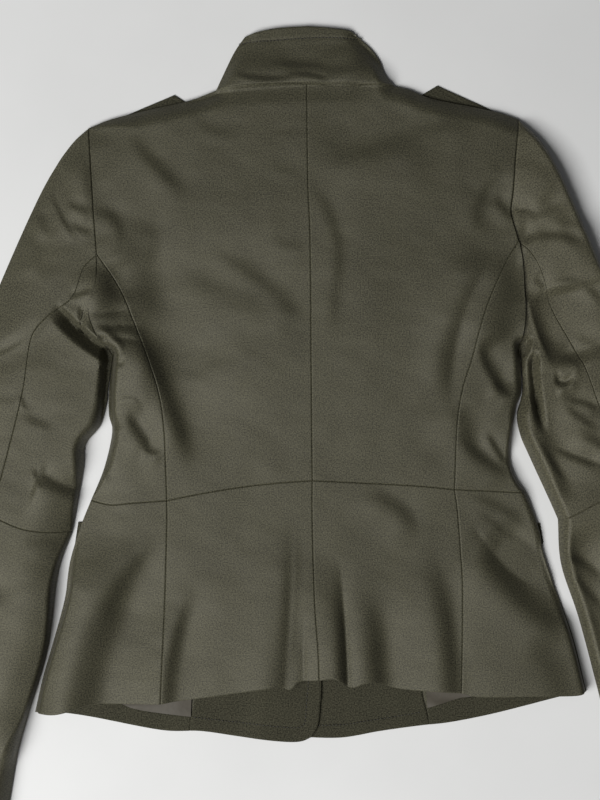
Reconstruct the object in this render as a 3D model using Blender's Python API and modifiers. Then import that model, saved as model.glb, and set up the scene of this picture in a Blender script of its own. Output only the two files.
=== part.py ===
"""Fitted military jacket with a stand collar, shoulder straps and a flared peplum.

The jacket lies face down on a flat surface, so its back is up, its fronts lie under
the back and its sleeves lie beside it as flattened tubes. Every piece that is cut and
sewn is one closed wall of cloth. Tables are in millimetres: x runs to the right from
the centre back line and y runs down from the top edge of the collar. The parts
themselves are in metres, with +Z up from the surface that the jacket lies on.
"""

import math

import bmesh
import bpy
import numpy as np

# ---------------------------------------------------------------- driving sizes (mm)
MM = 0.001
COLLECTION = "military_jacket"

WALL = 1.2  # shell cloth
THIN_WALL = 1.0  # facing, hem turn-up and lining
STRAP_WALL = 1.5  # shoulder straps and pocket flaps, two layers of cloth
SEAM_GAP = 0.3
LAYER_GAP = 0.3  # between pieces that lie on each other

EDGE_RISE = 2.2  # outer face of the back above the underside of the front, at a side
BODY_RISE = 15.0  # the back above the surface, away from its edges
SLEEVE_RISE = 19.0
COLLAR_RISE = 11.0
EDGE_RADIUS = 17.0  # how far in from an edge the cloth reaches its full rise
SLEEVE_SWELL = 70.0  # how far from the armhole a sleeve reaches its own rise
FOLD_FADE = 12.0  # folds die out over this distance to an edge
EDGE_BAND = 1.0  # a point this near an edge counts as on it
EDGE_GAPS = 2.5  # seams are this many times as wide apart where they reach an edge
SLOPE_REACH = 0.4  # heights this far on each side of a point give its slope
OVERLAP_RISE = 2.8  # the left front lies on the right front and its facing
OVERLAP_START_X = -66.0  # where the left front starts to rise
OVERLAP_RAMP = 28.0  # how far it takes to rise
INSIDE_GAP = 1.2  # between facing, hem turn-up and lining

COLLAR_SEAM_Y = 54.0  # the collar is level with the back here
COLLAR_SLOPE = 40.0  # it is down to its own rise this far above its seam

FRONT_SEAM_AT = 0.72  # the sleeve's hidden seam, as a share of its width from outside
INSIDE_TOP = 548.0  # facings and lining are made from here down to the hem
INSIDE_MARGIN = 7.0  # lining and turn-up stop this far inside the side seam
FOLD_TAPER = 0.25  # a fold rises and dies out over this share of its length
LEAST_SLANT = 0.25  # limits how far an edge that meets a seam at a slant is pulled in
MOST_PULLED = 0.4  # an edge moves by at most this share of the first grid cell
SHARP_ANGLE = 50.0  # degrees; edges past this are shaded as creases

BUTTON_RADIUS = 9.0
BUTTON_THICK = 2.6
BUTTON_COUNT = 5
BUTTON_FIRST_Y = 128.0
BUTTON_PITCH = 68.0
BUTTON_X = -1.5

# Shares of an edge's length at which the grid has a line, close together at one end.
CLOSE_FIRST = np.array((0.0, 0.03, 0.10, 0.22, 0.40, 0.60, 0.80, 1.0))
CLOSE_LAST = np.array((0.0, 0.25, 0.50, 0.72, 0.88, 0.97, 1.0))
CLOSE_BAND = np.array((0.0, 0.04, 0.13, 0.32, 0.62, 1.0))
FRONT_BAND = np.array((0.0, 0.05, 0.20, 0.50, 0.82, 1.0))
BODICE_ROWS = 7
PEPLUM_ROWS = 9
UPPER_SLEEVE_ROWS = 12
LOWER_SLEEVE_ROWS = 8
WAIST_COLUMNS = 10
UNDER_ARM_SHARED = 3  # grid lines between the hidden sleeve seam and the underarm

# ------------------------------------------------------------- seams and edges (x, y)
# Left is the left of the jacket as it lies, seen from above. Each row is one line of
# the pattern, from the collar down or from the outside in.
LEFT = {
    "collar_side": ((-83, 58), (-75, 40), (-66, 22), (-57, 9)),
    "collar_top": ((-57, 9), (-43, 4.5), (-25, 1.4), (-1, 0)),
    "neck": ((-83, 58), (-61, 55), (-30, 53.5), (-1, 54)),
    "shoulder": ((-198, 92), (-178, 84), (-142, 75), (-107, 67), (-83, 58)),
    "armhole_upper": ((-198, 92), (-195, 130), (-192, 171), (-189, 207)),
    "armhole_lower": ((-189, 207), (-189, 232), (-196, 254), (-190, 276), (-176, 297)),
    "princess": (
        (-189, 207), (-175, 227), (-164, 247), (-155, 270), (-142, 303), (-133, 333),
        (-129, 365), (-127, 428),
    ),
    "princess_peplum": ((-127, 428), (-127, 455), (-129, 518), (-132, 610)),
    "centre": ((-1, 54), (0, 140), (2, 194), (3, 301), (4, 410)),
    "centre_peplum": ((4, 410), (4, 445), (6, 517), (9, 562), (10, 588)),
    "side": ((-176, 297), (-180, 328), (-180, 351), (-177, 366), (-184, 398), (-196, 428)),
    "side_peplum": (
        (-196, 428), (-206, 454), (-212, 483), (-217, 517), (-229, 558), (-238, 589),
        (-245, 619),
    ),
    "waist_side": ((-196, 428), (-178, 432), (-160, 430.5), (-127, 428)),
    "waist_centre": ((-127, 428), (-97, 422), (-61, 416), (-25, 412), (4, 410)),
    "hem_side": ((-245, 619), (-226, 619), (-196, 612), (-171, 611), (-132, 610)),
    "hem_centre": (
        (-132, 610), (-103, 606), (-70, 601), (-29, 595), (-16, 597), (-7, 590), (10, 588),
    ),
    "sleeve_outer": (
        (-198, 92), (-213, 106), (-232, 133), (-250, 168), (-277, 229), (-300, 285),
        (-316, 345), (-329, 421),
    ),
    "sleeve_outer_lower": ((-329, 421), (-345, 512), (-376, 687)),
    "sleeve_inner": (
        (-176, 297), (-181, 328), (-182, 340), (-188, 361), (-201, 378), (-203, 400),
        (-213, 456),
    ),
    "sleeve_inner_lower": (
        (-213, 456), (-226, 495), (-235, 562), (-253, 623), (-263, 660), (-272, 713),
    ),
    "hind_seam": (
        (-189, 207), (-201, 219), (-211, 245), (-236, 265), (-249, 285), (-255, 328),
        (-268, 382), (-284, 441),
    ),
    "hind_seam_lower": ((-284, 441), (-297, 510), (-334, 697)),
    "elbow": ((-329, 421), (-284, 441), (-259, 452), (-237, 456), (-213, 456)),
    "cuff": ((-376, 687), (-334, 697), (-272, 713)),
    "front_collar_top": ((-57, 9), (-48, 30), (-28, 46), (-2, 52)),
    "front_collar_neck": ((-83, 58), (-56, 86), (-25, 101), (-2, 105)),
    "front_edge": ((10, 105), (11, 300), (11, 428)),
    "front_columns": (-66, -52, -38, -20, -4),
    "front_edge_peplum": ((11, 428), (12, 588), (11, 612), (9, 631), (3, 642)),
    "front_waist": ((-196, 428), (-160, 430), (-90, 429), (11, 428)),
    "front_side_peplum": (
        (-196, 428), (-206, 454), (-215, 483), (-220, 517), (-231, 558), (-240, 589),
        (-247, 620),
    ),
    "front_hem": (
        (-247, 620), (-226, 620), (-196, 624), (-133, 636), (-97, 637), (-61, 642),
        (-25, 646), (-7, 646), (3, 642),
    ),
    "facing_edge": ((-103, 548), (-103, 607), (-106, 625), (-107, 637)),
    "turn_up_top": ((-236, 588), (-205, 597), (-171, 611), (-151, 618), (-106, 624)),
}
RIGHT = {
    "collar_side": ((78, 54), (70, 43), (65, 31), (56, 19), (42, 7)),
    "collar_top": ((42, 7), (38, 4), (20, 1.4), (-1, 0)),
    "neck": ((78, 54), (56, 54.5), (33, 56), (-1, 54)),
    "shoulder": ((190, 84), (173, 78), (155, 74), (119, 67), (105, 63), (91, 57), (78, 54)),
    "armhole_upper": ((190, 84), (186, 121), (184, 148), (182, 168), (184, 178), (189, 195)),
    "armhole_lower": ((189, 195), (192, 213), (194, 234), (195, 261), (192, 288)),
    "princess": (
        (189, 195), (179, 211), (166, 238), (156, 265), (147, 301), (139, 327),
        (134, 360), (132, 418),
    ),
    "princess_peplum": ((132, 418), (135, 441), (139, 500), (139, 553), (138, 601)),
    "centre": LEFT["centre"],
    "centre_peplum": LEFT["centre_peplum"],
    "side": ((192, 288), (193, 328), (188, 345), (184, 372), (183, 392), (188, 408), (197, 421)),
    "side_peplum": (
        (197, 421), (209, 455), (212, 473), (219, 495), (238, 549), (251, 600),
    ),
    "waist_side": ((197, 421), (173, 420), (132, 418)),
    "waist_centre": ((132, 418), (101, 415), (47, 412), (4, 410)),
    "hem_side": ((251, 600), (240, 603), (209, 603), (155, 604), (138, 601)),
    "hem_centre": (
        (138, 601), (119, 599), (83, 597), (56, 591), (38, 595), (24, 587), (10, 588),
    ),
    "sleeve_outer": (
        (190, 84), (209, 102), (227, 130), (254, 190), (284, 262), (306, 312), (328, 362),
        (341, 402),
    ),
    "sleeve_outer_lower": ((341, 402), (352, 452), (391, 668)),
    "sleeve_inner": (
        (192, 288), (194, 328), (189, 350), (192, 369), (201, 390), (218, 427), (226, 445),
    ),
    "sleeve_inner_lower": (
        (226, 445), (229, 486), (245, 535), (263, 603), (274, 648), (285, 697),
    ),
    "hind_seam": (
        (189, 195), (202, 208), (212, 228), (220, 255), (246, 303), (263, 347), (293, 417),
    ),
    "hind_seam_lower": ((293, 417), (306, 475), (349, 680)),
    "elbow": ((341, 402), (293, 417), (263, 428), (238, 441), (226, 445)),
    "cuff": ((391, 668), (349, 680), (285, 697)),
    "front_collar_top": ((42, 7), (38, 28), (22, 46), (0, 52)),
    "front_collar_neck": ((78, 54), (54, 84), (22, 100), (0, 105)),
    "front_edge": ((-14, 105), (-14, 300), (-14, 428)),
    "front_columns": (50, 36, 24, 12, 0),
    "front_edge_peplum": ((-14, 428), (-14, 588), (-13, 642)),
    "front_waist": ((197, 421), (160, 426), (90, 428), (-14, 428)),
    "front_side_peplum": (
        (197, 421), (209, 455), (212, 473), (219, 495), (239, 549), (252, 601),
    ),
    "front_hem": (
        (252, 601), (231, 605), (200, 613), (164, 622), (128, 629), (101, 632), (65, 637),
        (29, 643), (-13, 642),
    ),
    "facing_edge": ((103, 548), (103, 598), (107, 618), (110, 631)),
    "turn_up_top": ((240, 580), (190, 594), (150, 605), (137, 607), (108, 616)),
}

# --------------------------------------------------------------------------- folds
# Columns: start, middle and end of the fold line, its width on the left and on the
# right of the way from start to end, and its height, which is below 0 in a trough.
FOLDS = (
    # peplum, from the centre outwards
    ((-19, 455), (-20, 526), (-21, 640), 16, 9, 4.0),
    ((-5, 505), (-6, 560), (-6, 650), 8, 9, -3.5),
    ((14, 448), (25, 500), (28, 650), 9, 10, -5.0),
    ((40, 470), (44, 535), (46, 650), 14, 9, 4.0),
    ((65, 510), (67, 560), (69, 650), 14, 12, -2.5),
    ((126, 505), (131, 560), (132, 650), 10, 10, -2.0),
    ((-150, 470), (-172, 520), (-222, 640), 20, 24, -4.0),
    ((-110, 505), (-115, 553), (-124, 600), 14, 14, -1.5),
    ((152, 422), (190, 468), (222, 505), 13, 13, -2.5),
    ((142, 445), (182, 500), (225, 550), 18, 18, -2.5),
    ((-250, 622), (-222, 618), (-186, 612), 26, 26, -6.0),
    ((254, 602), (230, 603), (190, 602), 26, 26, -6.0),
    # bodice
    ((-140, 305), (-120, 337), (-104, 380), 20, 20, -2.0),
    ((-140, 282), (-151, 315), (-156, 352), 12, 14, -3.0),
    ((-164, 348), (-151, 364), (-132, 388), 12, 12, -2.5),
    ((-196, 266), (-178, 262), (-155, 256), 9, 10, -3.0),
    ((157, 276), (167, 322), (190, 336), 12, 13, -3.0),
    ((134, 368), (164, 399), (186, 410), 14, 12, -2.5),
    ((-165, 108), (-142, 126), (-116, 144), 22, 22, -1.5),
    ((174, 132), (166, 160), (152, 190), 16, 16, -1.5),
    # collar
    ((-30, 28), (6, 37), (42, 42), 9, 9, -1.5),
    # left sleeve, with the overlap of the bent elbow first
    ((-220, 262), (-250, 284), (-304, 304), 18, 9, -7.0),
    ((-226, 256), (-196, 282), (-170, 300), 9, 9, -5.0),
    ((-232, 140), (-222, 168), (-212, 196), 12, 12, -2.0),
    ((-242, 400), (-224, 417), (-200, 430), 9, 9, -2.5),
    ((-312, 470), (-290, 500), (-262, 520), 12, 12, -2.5),
    ((-330, 580), (-300, 600), (-272, 604), 12, 12, -2.0),
    # right sleeve
    ((200, 240), (212, 274), (222, 300), 9, 11, -4.0),
    ((204, 190), (227, 192), (250, 200), 10, 10, -2.0),
    ((222, 228), (250, 247), (276, 264), 10, 10, -2.5),
    ((202, 290), (205, 330), (212, 376), 11, 9, -5.0),
    ((208, 370), (228, 385), (276, 396), 11, 11, -4.5),
    ((224, 336), (246, 341), (276, 350), 9, 9, -3.0),
    ((226, 470), (245, 486), (276, 504), 10, 10, -3.0),
    ((300, 520), (290, 546), (262, 566), 12, 12, -2.5),
)

# What lies under the fronts and lifts them.
# Columns: one end, other end, half width, height, and the distance it fades over.
BUTTON_ROW = ((BUTTON_X, 112), (BUTTON_X, 412), 14, 3.0, 13)
STRAP_PADS = (
    ((-190, 108), (-106, 76), 33, 1.9, 12),
    ((181, 101), (106, 70), 33, 1.9, 12),
)
FLAP_PADS = (
    ((-192, 468), (-112, 468), 38, 1.9, 14),
    ((192, 468), (112, 468), 38, 1.9, 14),
)

# Shoulder straps and pocket flaps: corners of a flat outline.
STRAP_WIDTH = 36.0
STRAP_POINT = 12.7
STRAPS = {
    "epaulette_L": ((-194.5, 92.5), (-121, 61.5)),
    "epaulette_R": ((187, 84.5), (117, 53)),
}
FLAPS = {
    "pocket_flap_L": ((-208, 448), (-98, 446), (-98, 488), (-205, 490), (-211, 468)),
    "pocket_flap_R": ((210, 449), (98, 446), (98, 488), (206, 490), (213, 466)),
}

CLOTH = ("cloth", (0.066, 0.062, 0.042), 0.85, 0.0)
SATIN = ("satin", (0.13, 0.11, 0.09), 0.45, 0.0)
HORN = ("horn", (0.03, 0.025, 0.02), 0.4, 0.0)


# --------------------------------------------------------------------- plane curves
def smooth(table, steps_per_span=16):
    """A fine polyline on a smooth curve through the points of a table."""
    p = np.array(table, float)
    before, after = 2 * p[0] - p[1], 2 * p[-1] - p[-2]
    p = np.vstack((before, p, after))
    t = np.linspace(0, 1, steps_per_span, endpoint=False)[:, None]
    spans = []
    for a, b, c, d in zip(p, p[1:], p[2:], p[3:]):
        curve = 2 * b + (c - a) * t + (2 * a - 5 * b + 4 * c - d) * t**2
        spans.append((curve + (3 * b - a - 3 * c + d) * t**3) / 2)
    return np.vstack((*spans, p[-2]))


def along(line):
    """The share of a polyline's length at each of its points."""
    steps = np.linalg.norm(np.diff(line, axis=0), axis=1)
    total = np.concatenate(([0.0], np.cumsum(steps)))
    return total / total[-1] if total[-1] > 0 else np.linspace(0, 1, len(line))


def sample(table, shares):
    """Points of a table's smooth curve at shares of its length."""
    if isinstance(shares, int):
        shares = np.linspace(0, 1, shares + 1)
    line = smooth(table)
    at = along(line)
    return np.column_stack([np.interp(shares, at, line[:, k]) for k in (0, 1)])


def share_at(table, axis, value):
    """Where along a table's curve x (axis 0) or y (axis 1) passes a value."""
    line = smooth(table)
    return float(along(line)[np.argmin(np.abs(line[:, axis] - value))])


def between(table, start, end, count):
    """Points of a table's curve between two shares of its length."""
    return sample(table, np.linspace(start, end, count))


def joined(*edges):
    """Edges one after another, without the points that they share."""
    return np.vstack((edges[0], *(edge[1:] for edge in edges[1:])))


def patch(first, last, start, end):
    """A grid of points between four edges.

    Rows run from first to last, and each row runs from start to end.
    """
    u = ((along(first) + along(last)) / 2)[None, :, None]
    v = ((along(start) + along(end)) / 2)[:, None, None]
    across = (1 - u) * start[:, None] + u * end[:, None]
    down = (1 - v) * first[None] + v * last[None]
    corners = (1 - v) * ((1 - u) * first[0] + u * first[-1])
    return across + down - corners - v * ((1 - u) * last[0] + u * last[-1])


# ------------------------------------------------------------------------- heights
def distance(points, line):
    """How far each point is from a polyline, the side it is on, and where along."""
    best = np.full(points.shape[:-1], 1e9)
    side = np.zeros_like(best)
    where = np.zeros_like(best)
    shares = along(line)
    for a, b, share_a, share_b in zip(line, line[1:], shares, shares[1:]):
        way = b - a
        t = np.clip((points - a) @ way / max(way @ way, 1e-9), 0, 1)
        off = points - a - t[..., None] * way
        far = np.linalg.norm(off, axis=-1)
        near = far < best
        best = np.where(near, far, best)
        side = np.where(near, way[0] * off[..., 1] - way[1] * off[..., 0], side)
        where = np.where(near, share_a + t * (share_b - share_a), where)
    return best, side, where


def step(x):
    """A smooth step from 0 to 1 as x goes from 0 to 1."""
    x = np.clip(x, 0, 1)
    return x * x * (3 - 2 * x)


def rounded(share):
    """A quarter circle: 0 at 0, rising steeply, and 1 from 1 on."""
    return np.sqrt(1 - (1 - np.clip(share, 0, 1)) ** 2)


def pad(points, row):
    """The height of a flat-topped pad along a straight line."""
    start, end, half, height, fade = row
    far = distance(points, np.array((start, end), float))[0]
    return height * (1 - step((far - half) / fade))


def fold(points, row):
    """The height that one fold adds at each point."""
    start, middle, end, left, right, height = row
    a, b, c = (np.array(p, float) for p in (start, middle, end))
    t = np.linspace(0, 1, 13)[:, None]
    line = (1 - t) * (1 - 2 * t) * a + 4 * t * (1 - t) * b + t * (2 * t - 1) * c
    far, side, where = distance(points, line)
    width = np.where(side > 0, right, left)
    fades = step(where / FOLD_TAPER) * step((1 - where) / FOLD_TAPER)
    return height * np.exp(-((far / width) ** 2)) * fades


OUTLINE = [
    smooth(half[name])
    for half in (LEFT, RIGHT)
    for name in (
        "collar_side", "shoulder", "side", "side_peplum", "sleeve_outer",
        "sleeve_outer_lower", "sleeve_inner", "sleeve_inner_lower",
    )
]
ARMHOLES = [
    joined(smooth(half["armhole_upper"]), smooth(half["armhole_lower"]))
    for half in (LEFT, RIGHT)
]


def inside_edge(points):
    """How far each point lies from the nearest edge of the jacket."""
    return np.min([distance(points, line)[0] for line in OUTLINE], axis=0)


def lift_sleeve(points):
    """Underside of a sleeve: flat, but for what the shoulder strap lifts."""
    return np.max([pad(points, row) for row in STRAP_PADS], axis=0)


def lift_right(points):
    """Underside of the right front, over the buttons, straps and flaps."""
    rows = (BUTTON_ROW, *STRAP_PADS, *FLAP_PADS)
    return np.max([pad(points, row) for row in rows], axis=0)


def lift_left(points):
    """Underside of the left front, which lies on the edge of the right front."""
    past_start = (points[..., 0] - OVERLAP_START_X) / OVERLAP_RAMP
    return lift_right(points) + OVERLAP_RISE * step(past_start)


def upper(points, rise, lift):
    """Outer face of what lies up: domed over its edges, with its folds."""
    far = inside_edge(points)
    edge = lift(points) + EDGE_RISE
    folds = sum(fold(points, row) for row in FOLDS)
    dome = edge + (rise - edge) * rounded(far / EDGE_RADIUS)
    return np.maximum(dome + folds * step(far / FOLD_FADE), edge)


def body_top(points):
    """Outer face of the back."""
    return upper(points, BODY_RISE, lift_right)


def sleeve_top(points):
    """Outer face of a sleeve's upper side, which swells away from the armhole."""
    far = np.min([distance(points, line)[0] for line in ARMHOLES], axis=0)
    rise = BODY_RISE + (SLEEVE_RISE - BODY_RISE) * step(far / SLEEVE_SWELL)
    return upper(points, rise, lift_sleeve)


def collar_top(points):
    """Outer face of the collar's back, which is level with the back at the neck."""
    above_seam = step((COLLAR_SEAM_Y - points[..., 1]) / COLLAR_SLOPE)
    return upper(points, BODY_RISE + (COLLAR_RISE - BODY_RISE) * above_seam, lift_right)


def sleeve_base(points):
    """Outer face of a sleeve's side that lies down."""
    return under(points, lift_sleeve)


def under(points, lift):
    """Outer face of what lies down, turned up to meet the upper side at an edge."""
    base = lift(points)
    return base + EDGE_RISE * (1 - rounded(inside_edge(points) / EDGE_RISE))


# -------------------------------------------------------------------------- solids
def origin():
    """The middle of the whole outline, in the tables' millimetres."""
    lines = np.vstack(OUTLINE + [smooth(h["collar_top"]) for h in (LEFT, RIGHT)])
    return (lines.min(axis=0) + lines.max(axis=0)) / 2


CENTRE = origin()


def to_world(points):
    """Table points with heights, as metres with +Y towards the collar."""
    return (points - (*CENTRE, 0.0)) * (1, -1, 1) * MM


def material(name, look):
    """A plain surface with a part's colour."""
    kind, colour, roughness, metallic = look
    made = bpy.data.materials.new(f"{kind}_{name}")
    made.use_nodes = True
    shader = made.node_tree.nodes["Principled BSDF"]
    shader.inputs["Base Color"].default_value = (*colour, 1)
    shader.inputs["Roughness"].default_value = roughness
    shader.inputs["Metallic"].default_value = metallic
    return made


def add_object(name, mesh, look):
    """A named object in the jacket's collection."""
    made = bpy.data.objects.new(name, mesh)
    made.data.materials.append(material(name, look))
    bpy.data.collections[COLLECTION].objects.link(made)
    return made


def surface(points, height, up=1):
    """A grid of plane points with a height and an outward direction for each.

    A point on the jacket's edge takes the direction of a point just inside it.
    """
    middle = points.reshape(-1, 2).mean(axis=0) - points
    middle /= np.maximum(np.linalg.norm(middle, axis=-1), 1e-6)[..., None]
    on_edge = (inside_edge(points) < EDGE_BAND)[..., None]
    near = points + middle * EDGE_BAND * on_edge
    slopes = [
        (height(near + probe) - height(near - probe)) / np.linalg.norm(2 * probe)
        for probe in (np.array((SLOPE_REACH, 0.0)), np.array((0.0, SLOPE_REACH)))
    ]
    out = np.stack((-slopes[0] * up, -slopes[1] * up, np.full_like(slopes[0], up)), axis=-1)
    out /= np.linalg.norm(out, axis=-1)[..., None]
    return np.concatenate((points, height(points)[..., None], out), axis=-1)


def folded(first, second):
    """Two grids that meet at a fold, as one; their last and first columns are shared."""
    first = first.copy()
    both = first[:, -1, 3:] + second[:, 0, 3:]
    first[:, -1, 3:] = both / np.linalg.norm(both, axis=-1)[:, None]
    return np.concatenate((first, second[:, 1:]), axis=1)


def pulled_in(points, by=SEAM_GAP / 2):
    """The grid with its border lines moved inwards, so that seams keep a gap."""
    points = points.copy()
    lines = (
        (points[0], points[1]), (points[-1], points[-2]),
        (points[:, 0], points[:, 1]), (points[:, -1], points[:, -2]),
    )
    for edge, inner in lines:
        way = inner - edge
        if np.ptp(edge, axis=0).max() < 0.01:
            way[:] = way.mean(axis=0)
        length = np.maximum(np.linalg.norm(way, axis=-1), 1e-6)
        run = np.gradient(edge, axis=0)
        run /= np.maximum(np.linalg.norm(run, axis=-1), 1e-6)[:, None]
        slant = np.linalg.norm(np.cross(way / length[:, None], run), axis=-1)
        wide = by * np.where(inside_edge(edge[:, :2]) < EDGE_BAND, EDGE_GAPS, 1)
        move = np.minimum(wide / np.clip(slant, LEAST_SLANT, 1), MOST_PULLED * length)
        edge += way * (move / length)[:, None]
    return points


def wall(name, grid, thick, look, by=SEAM_GAP / 2):
    """A closed wall of cloth behind a grid of outer points, shaded smooth."""
    outer = pulled_in(grid[..., :3], by)
    inner = to_world(outer - grid[..., 3:] * thick).reshape(-1, 3)
    outer = to_world(outer).reshape(-1, 3)
    rows, columns = grid.shape[:2]
    bm = bmesh.new()
    bmesh.ops.create_grid(bm, x_segments=columns - 1, y_segments=rows - 1, size=0.5)
    place_of = bm.verts.layers.int.new("place")
    for index, vert in enumerate(bm.verts):
        vert[place_of] = index
        vert.co = outer[index]
    pushed = bmesh.ops.extrude_face_region(bm, geom=bm.faces[:])
    for vert in pushed["geom"]:
        if isinstance(vert, bmesh.types.BMVert):
            vert.co = inner[vert[place_of]]
    bmesh.ops.remove_doubles(bm, verts=bm.verts, dist=0.00002)
    bmesh.ops.recalc_face_normals(bm, faces=bm.faces)
    mesh = bpy.data.meshes.new(name)
    bm.to_mesh(mesh)
    bm.free()
    mesh.shade_smooth()
    mesh.set_sharp_from_angle(angle=math.radians(SHARP_ANGLE))
    return add_object(name, mesh, look)


# ------------------------------------------------------------------------ sections
def add_backs(side, half):
    """Centre back and side back, above and below the waist seam."""
    shoulder = sample(half["shoulder"], CLOSE_BAND)
    neck = sample(half["neck"], CLOSE_BAND)
    arm_upper = sample(half["armhole_upper"], CLOSE_FIRST)
    arm_lower = sample(half["armhole_lower"], CLOSE_LAST)
    side_rows = len(CLOSE_LAST) - 1 + BODICE_ROWS
    princess = sample(half["princess"], side_rows)
    centre = sample(half["centre"], len(CLOSE_FIRST) - 1 + side_rows)
    waist_centre = sample(half["waist_centre"], WAIST_COLUMNS)
    waist_side = sample(half["waist_side"], CLOSE_FIRST)
    peplum_seam = sample(half["princess_peplum"], PEPLUM_ROWS)
    grids = {
        "back_centre": patch(
            joined(shoulder, neck), waist_centre, joined(arm_upper, princess), centre
        ),
        "back_side": patch(
            np.repeat(arm_lower[:1], len(waist_side), axis=0), waist_side,
            joined(arm_lower, sample(half["side"], BODICE_ROWS)), princess,
        ),
        "back_peplum_centre": patch(
            waist_centre, sample(half["hem_centre"], WAIST_COLUMNS), peplum_seam,
            sample(half["centre_peplum"], PEPLUM_ROWS),
        ),
        "back_peplum_side": patch(
            waist_side, sample(half["hem_side"], CLOSE_FIRST),
            sample(half["side_peplum"], PEPLUM_ROWS), peplum_seam,
        ),
    }
    for name, grid in grids.items():
        wall(f"{name}_{side}", surface(grid, body_top), WALL, CLOTH)


def front_shares(half, table):
    """Grid lines across a front: even from the side, then at the front's columns."""
    near_edge = [share_at(table, 0, x) for x in half["front_columns"]]
    return np.concatenate((np.linspace(0, near_edge[0], 7), near_edge[1:], (1.0,)))


def add_fronts(side, half, lift):
    """A whole front above the waist seam and its peplum below it."""
    top = joined(
        sample(half["shoulder"], CLOSE_BAND), sample(half["front_collar_neck"], FRONT_BAND)
    )
    armhole = joined(
        sample(half["armhole_upper"], CLOSE_FIRST), sample(half["armhole_lower"], CLOSE_LAST)
    )
    outside = joined(armhole, sample(half["side"], BODICE_ROWS))
    waist = sample(half["front_waist"], front_shares(half, half["front_waist"]))
    hem = sample(half["front_hem"], front_shares(half, half["front_hem"]))
    grids = {
        "front": patch(
            np.vstack((top, half["front_edge"][0])), waist, outside,
            sample(half["front_edge"], len(outside) - 1),
        ),
        "front_peplum": patch(
            waist, hem, sample(half["front_side_peplum"], PEPLUM_ROWS),
            sample(half["front_edge_peplum"], PEPLUM_ROWS),
        ),
    }
    for name, grid in grids.items():
        wall(f"{name}_{side}", surface(grid, lift, up=-1), WALL, CLOTH)


def add_insides(side, half, lift):
    """Facing, hem turn-up and lining, where they show below the back's hem."""
    def on_front(points):
        return lift(points) + WALL + LAYER_GAP + THIN_WALL

    inwards = np.array((INSIDE_MARGIN if side == "L" else -INSIDE_MARGIN, 0))
    side_line, hem, edge = (
        half[name] for name in ("front_side_peplum", "front_hem", "front_edge_peplum")
    )
    hem_at = share_at(hem, 0, half["facing_edge"][-1][0])
    facing_side = sample(half["facing_edge"], 6)
    facing_side[-1] = between(hem, hem_at, hem_at, 1)[0]
    facing_front = between(edge, share_at(edge, 1, INSIDE_TOP), 1, 7)
    columns = [share_at(hem, 0, x) for x in half["front_columns"]]
    facing_hem = sample(hem, np.array((hem_at, (hem_at + columns[0]) / 2, *columns, 1.0)))
    facing_top = facing_hem * (1, 0) + (0, INSIDE_TOP)
    facing_top[0], facing_top[-1] = facing_side[0], facing_front[0]
    turn_line = sample(half["turn_up_top"], 6)
    turn_at = share_at(side_line, 1, turn_line[0][1])
    turn_line[0] = between(side_line, turn_at, turn_at, 1)[0] + inwards
    turn_side = between(side_line, turn_at, 1, 3) + inwards
    turn_hem = between(hem, 0, hem_at, 7)
    turn_hem[0] += inwards
    lining_side = between(side_line, share_at(side_line, 1, INSIDE_TOP), turn_at, 5) + inwards
    pieces = (
        ("front_facing", CLOTH, patch(facing_top, facing_hem, facing_side, facing_front)),
        ("front_turn_up", CLOTH, patch(
            turn_line, turn_hem, turn_side, np.linspace(turn_line[-1], turn_hem[-1], 3)
        )),
        ("lining_hem", SATIN, patch(
            np.linspace(lining_side[0], facing_side[0], 7), turn_line, lining_side,
            np.linspace(facing_side[0], turn_line[-1], 5),
        )),
    )
    for name, look, grid in pieces:
        wall(f"{name}_{side}", surface(grid, on_front), THIN_WALL, look, INSIDE_GAP / 2)


def collar_half(half, lift):
    """The collar's back and front on one side, each from its side fold inwards."""
    rows = 3
    fold_line = sample(half["collar_side"][::-1], rows)
    back = patch(
        sample(half["collar_top"], CLOSE_BAND), sample(half["neck"], CLOSE_BAND), fold_line,
        np.linspace(half["collar_top"][-1], half["neck"][-1], rows + 1),
    )
    front = patch(
        sample(half["front_collar_top"], FRONT_BAND),
        sample(half["front_collar_neck"], FRONT_BAND), fold_line,
        np.linspace(half["front_collar_top"][-1], half["front_collar_neck"][-1], rows + 1),
    )
    laid = surface(front, lambda points: under(points, lift), up=-1)
    return surface(back, collar_top), laid


def add_collar():
    """A stand collar: one band from the left front round the back to the right."""
    left_back, left_front = collar_half(LEFT, lift_left)
    right_back, right_front = collar_half(RIGHT, lift_right)
    back = np.concatenate((left_back, right_back[:, -2::-1]), axis=1)
    band = folded(folded(left_front[:, ::-1], back), right_front)
    wall("collar", band, WALL, CLOTH)


def cross_seam(table, hind_at):
    """A line across a sleeve, cut at its lengthwise seams.

    Gives the upper side outside and inside the hind seam, and the lower side outside
    and inside the hidden seam.
    """
    shared = len(CLOSE_LAST) - 1 - UNDER_ARM_SHARED
    outside = np.concatenate(
        (CLOSE_FIRST * hind_at, np.linspace(hind_at, FRONT_SEAM_AT, shared + 1)[1:])
    )
    inside = FRONT_SEAM_AT + (1 - FRONT_SEAM_AT) * np.array((0.0, 0.6, 0.9, 1.0))
    shares = (CLOSE_FIRST * hind_at, hind_at + CLOSE_LAST * (1 - hind_at), outside, inside)
    return [sample(table, share) for share in shares]


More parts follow.
